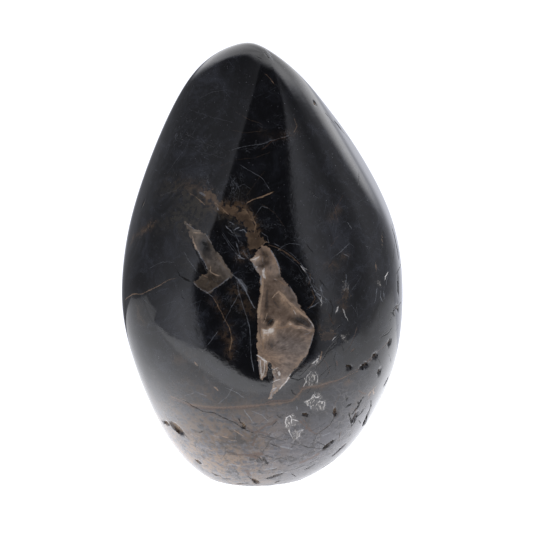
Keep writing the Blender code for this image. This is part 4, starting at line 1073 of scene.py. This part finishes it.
HEM_OUTER = (
    (-230, -75), (-100, -75), (-86, -56.2), (-72, -58.4), (-58, -60.3), (-46, -63.2), (-33, -65.8),
    (-22, -63.6), (-10, -59.6), (2, -57.6), (18, -59.6), (36, -64.4), (52, -66.5), (66, -65), (80, -75),
    (230, -75),
)
HEM_INNER = (
    (-86, -56.2), (-64, -55.3), (-50, -54.3), (-36, -55.2), (-22, -54.2), (-8, -52.9), (6, -53.6),
    (18, -56.4), (30, -61), (40, -75),
)
SHEET_HALF, SHEET_BACK, SHEET_UNDER = 230, 100, -0.05  # mm to each side, behind and below the stone
SHEET_STEPS, SHEET_ROWS = 230, 24

# How bright the sheet's glow is by mm from the stone: a painted pool of light, dimmer close to the
# stone as a painted shadow, with a bump of painted light to the left and a weaker one to the
# right. It fades to the last value in front on both sides of the hem.
POOL = (
    (0, 1.5), (20, 1.5), (30, 1.65), (42, 1.8), (55, 1.58), (62, 1.45), (75, 1.3), (90, 1.15), (110, 1.05),
    (150, 0.7),
)
POOL_BUMPS = ((-40, -8, 1.5), (42, -12, 0.8))
BESIDE_HEM = 0.62

sheet_x = np.linspace(-SHEET_HALF, SHEET_HALF, SHEET_STEPS + 1)
outer = np.interp(sheet_x, *np.transpose(HEM_OUTER))
inner = np.maximum(outer, np.interp(sheet_x, *np.transpose(HEM_INNER)))
deeper = np.linspace(0, 1, SHEET_ROWS)[:, None] ** 1.3 * (SHEET_BACK - inner) + inner
sheet_y = np.concatenate([outer[None], deeper])
across = np.broadcast_to(sheet_x, sheet_y.shape)
sheet_points = np.stack([across, sheet_y, np.full(sheet_y.shape, SHEET_UNDER)], -1).reshape(-1, 3)
k = np.arange(SHEET_STEPS)
cell = np.stack([k, k + 1, k + SHEET_STEPS + 2, k + SHEET_STEPS + 1], -1)
strips = (cell + (SHEET_STEPS + 1) * np.arange(SHEET_ROWS)[:, None, None]).reshape(-1, 4)
sheet_mesh = bpy.data.meshes.new("white_cloth_sheet")
sheet_mesh.from_pydata(sheet_points / 1000, [], strips.tolist())
sheet = bpy.data.objects.new("white_cloth_sheet", sheet_mesh)
bpy.context.scene.collection.objects.link(sheet)

x, y, _ = sheet_points.T
pool = np.interp(np.hypot(x / 1.6, y - 5), *np.transpose(POOL))
for bump_x, bump_y, more in POOL_BUMPS:
    pool += more * np.exp(-(((x - bump_x) / 20) ** 2) - ((y - bump_y) / 26) ** 2)
beside = np.interp(x, (-92, -78, 56, 78), (1, 0, 0, 1))
in_front = np.interp(y, (-66, -50), (1, 0))
pool += (BESIDE_HEM - pool) * beside * in_front
sheet_mesh.attributes.new("pool", "FLOAT", "POINT").data.foreach_set("value", pool.astype(np.float32))
for name, brightness in (("glowing_white_cloth_hem", 1.5515), ("glowing_white_cloth", 1.07)):
    cloth = bpy.data.materials.new(name)
    cloth.use_nodes = True
    tree = cloth.node_tree
    cloth_shader = tree.nodes["Principled BSDF"]
    cloth_shader.inputs["Base Color"].default_value = linear("#000000")
    cloth_shader.inputs["Specular IOR Level"].default_value = 0.0
    cloth_shader.inputs["Emission Color"].default_value = linear("#f6f7fc")
    # The sheet's glow is painted light: the pool's brightness times this part's strength
    lit = add(tree, "Attribute", attribute_name="pool")["Fac"]
    lit = add(tree, "Math", {0: lit, 1: brightness}, operation="MULTIPLY")[0]
    seen = add(tree, "Math", {0: add(tree, "LightPath")["Is Camera Ray"], 1: 1.2}, operation="MULTIPLY")[0]
    lit = add(tree, "Math", {0: lit, 1: seen}, operation="MAXIMUM")[0]
    tree.links.new(lit, cloth_shader.inputs["Emission Strength"])
    sheet_mesh.materials.append(cloth)
sheet_mesh.polygons.foreach_set("material_index", (np.arange(len(strips)) >= SHEET_STEPS).astype(np.int32))

# The tent by how many degrees round from the front: its brightness at eye level and low down,
# how many degrees up its roof begins, and the roof's brightness. A ramp holds at most 32 of them,
# as shares of the most that each can be.
TENT = (
    (-180, 0.75, 0.50, 0, 1.6), (-165, 0.13, 0.35, 3, 1.6), (-150, 0.12, 0.20, 9, 2.0),
    (-140, 0.15, 0.35, 17, 1.95), (-130, 0.17, 0.55, 25, 1.8), (-120, 0.19, 0.80, 34, 1.6),
    (-110, 0.21, 0.85, 47, 1.5), (-100, 0.24, 0.80, 54, 1.6), (-90, 0.27, 0.70, 60, 1.9),
    (-80, 0.32, 0.60, 62, 1.9), (-70, 0.40, 0.58, 63, 1.9), (-60, 0.46, 0.60, 63, 1.7),
    (-50, 0.52, 0.75, 63, 1.7), (-42, 0.58, 0.95, 63, 1.5), (-36, 0.66, 1.20, 63, 1.5),
    (-31, 0.80, 1.00, 63, 1.6), (-28.3, 0.05, 0.05, 63, 1.7), (19.5, 0.05, 0.05, 61, 2.2),
    (21.5, 0.84, 0.52, 59, 2.2), (25, 0.80, 0.62, 57.5, 2.4), (30, 0.48, 0.50, 56, 2.6),
    (40, 0.28, 0.42, 51, 2.8), (50, 0.42, 0.50, 47, 3.0), (60, 0.66, 0.60, 46, 3.1),
    (70, 0.66, 0.80, 44, 3.0), (80, 0.62, 1.00, 41, 2.7), (92, 0.56, 1.00, 37.5, 2.4),
    (105, 0.52, 0.95, 29, 2.5), (120, 0.56, 0.90, 19, 2.8), (135, 0.56, 0.80, 9.5, 2.6),
    (150, 0.58, 0.95, 3, 2.0), (180, 0.75, 1.05, 0, 1.6),
)
TENT_MOST = np.array([2.0, 2.0, 90.0, 4.0])

world = bpy.data.worlds.new("light_tent")
world.use_nodes = True
bpy.context.scene.world = world
tree = world.node_tree
way = add(tree, "SeparateXYZ", {0: add(tree, "TexCoord")["Generated"]})
forward = add(tree, "Math", {0: way["Y"], 1: -1.0}, operation="MULTIPLY")[0]
turned = add(tree, "Math", {0: way["X"], 1: forward}, operation="ARCTAN2")[0]
turned = add(tree, "Math", {0: turned, 1: 0.5 / math.pi, 2: 0.5}, operation="MULTIPLY_ADD")[0]
raised = add(tree, "Math", {0: way["Z"]}, operation="ARCSINE")[0]
raised = add(tree, "Math", {0: raised, 1: 180 / math.pi}, operation="MULTIPLY")[0]
tent_stops = [(degrees / 360 + 0.5, np.array(values) / TENT_MOST) for degrees, *values in TENT]
held = add(tree, "ValToRGB", {0: turned}, tent_stops)
three = add(tree, "SeparateColor", {0: held["Color"]})
level, low, roof_from, roof = [
    add(tree, "Math", {0: value, 1: float(most)}, operation="MULTIPLY")[0]
    for value, most in zip((three[0], three[1], three[2], held["Alpha"]), TENT_MOST)
]
lower = add(tree, "MapRange", {0: raised, 1: -2.0, 2: -42.0}, **STEP)[0]
top = add(tree, "MapRange", {0: raised, 1: 32.0, 2: 50.0}, **STEP)[0]
dim = add(tree, "Math", {0: level, 1: 0.28, 2: 0.06}, operation="MULTIPLY_ADD")[0]
over = add(tree, "Math", {0: raised, 1: roof_from}, operation="SUBTRACT")[0]
over = add(tree, "MapRange", {0: over, 1: -4.0, 2: 8.0}, **STEP)[0]
glow = level
for share, other in ((lower, low), (top, dim), (over, roof)):
    glow = add(tree, "Mix", {0: share, 2: glow, 3: other}, data_type="FLOAT")[0]
glow = add(tree, "Math", {0: glow, 1: 1.16}, operation="MULTIPLY")[0]
seen = add(tree, "Math", {0: add(tree, "LightPath")["Is Camera Ray"], 1: 1.4}, operation="MULTIPLY")[0]
glow = add(tree, "Math", {0: glow, 1: seen}, operation="MAXIMUM")[0]
tree.links.new(glow, tree.nodes["Background"].inputs["Strength"])
tint = add(tree, "Mix", {0: over, 6: linear("#edeff9"), 7: linear("#f5f5f8")}, data_type="RGBA")[2]
tree.links.new(tint, tree.nodes["Background"].inputs["Color"])

bpy.context.scene.view_settings.view_transform = "Standard"
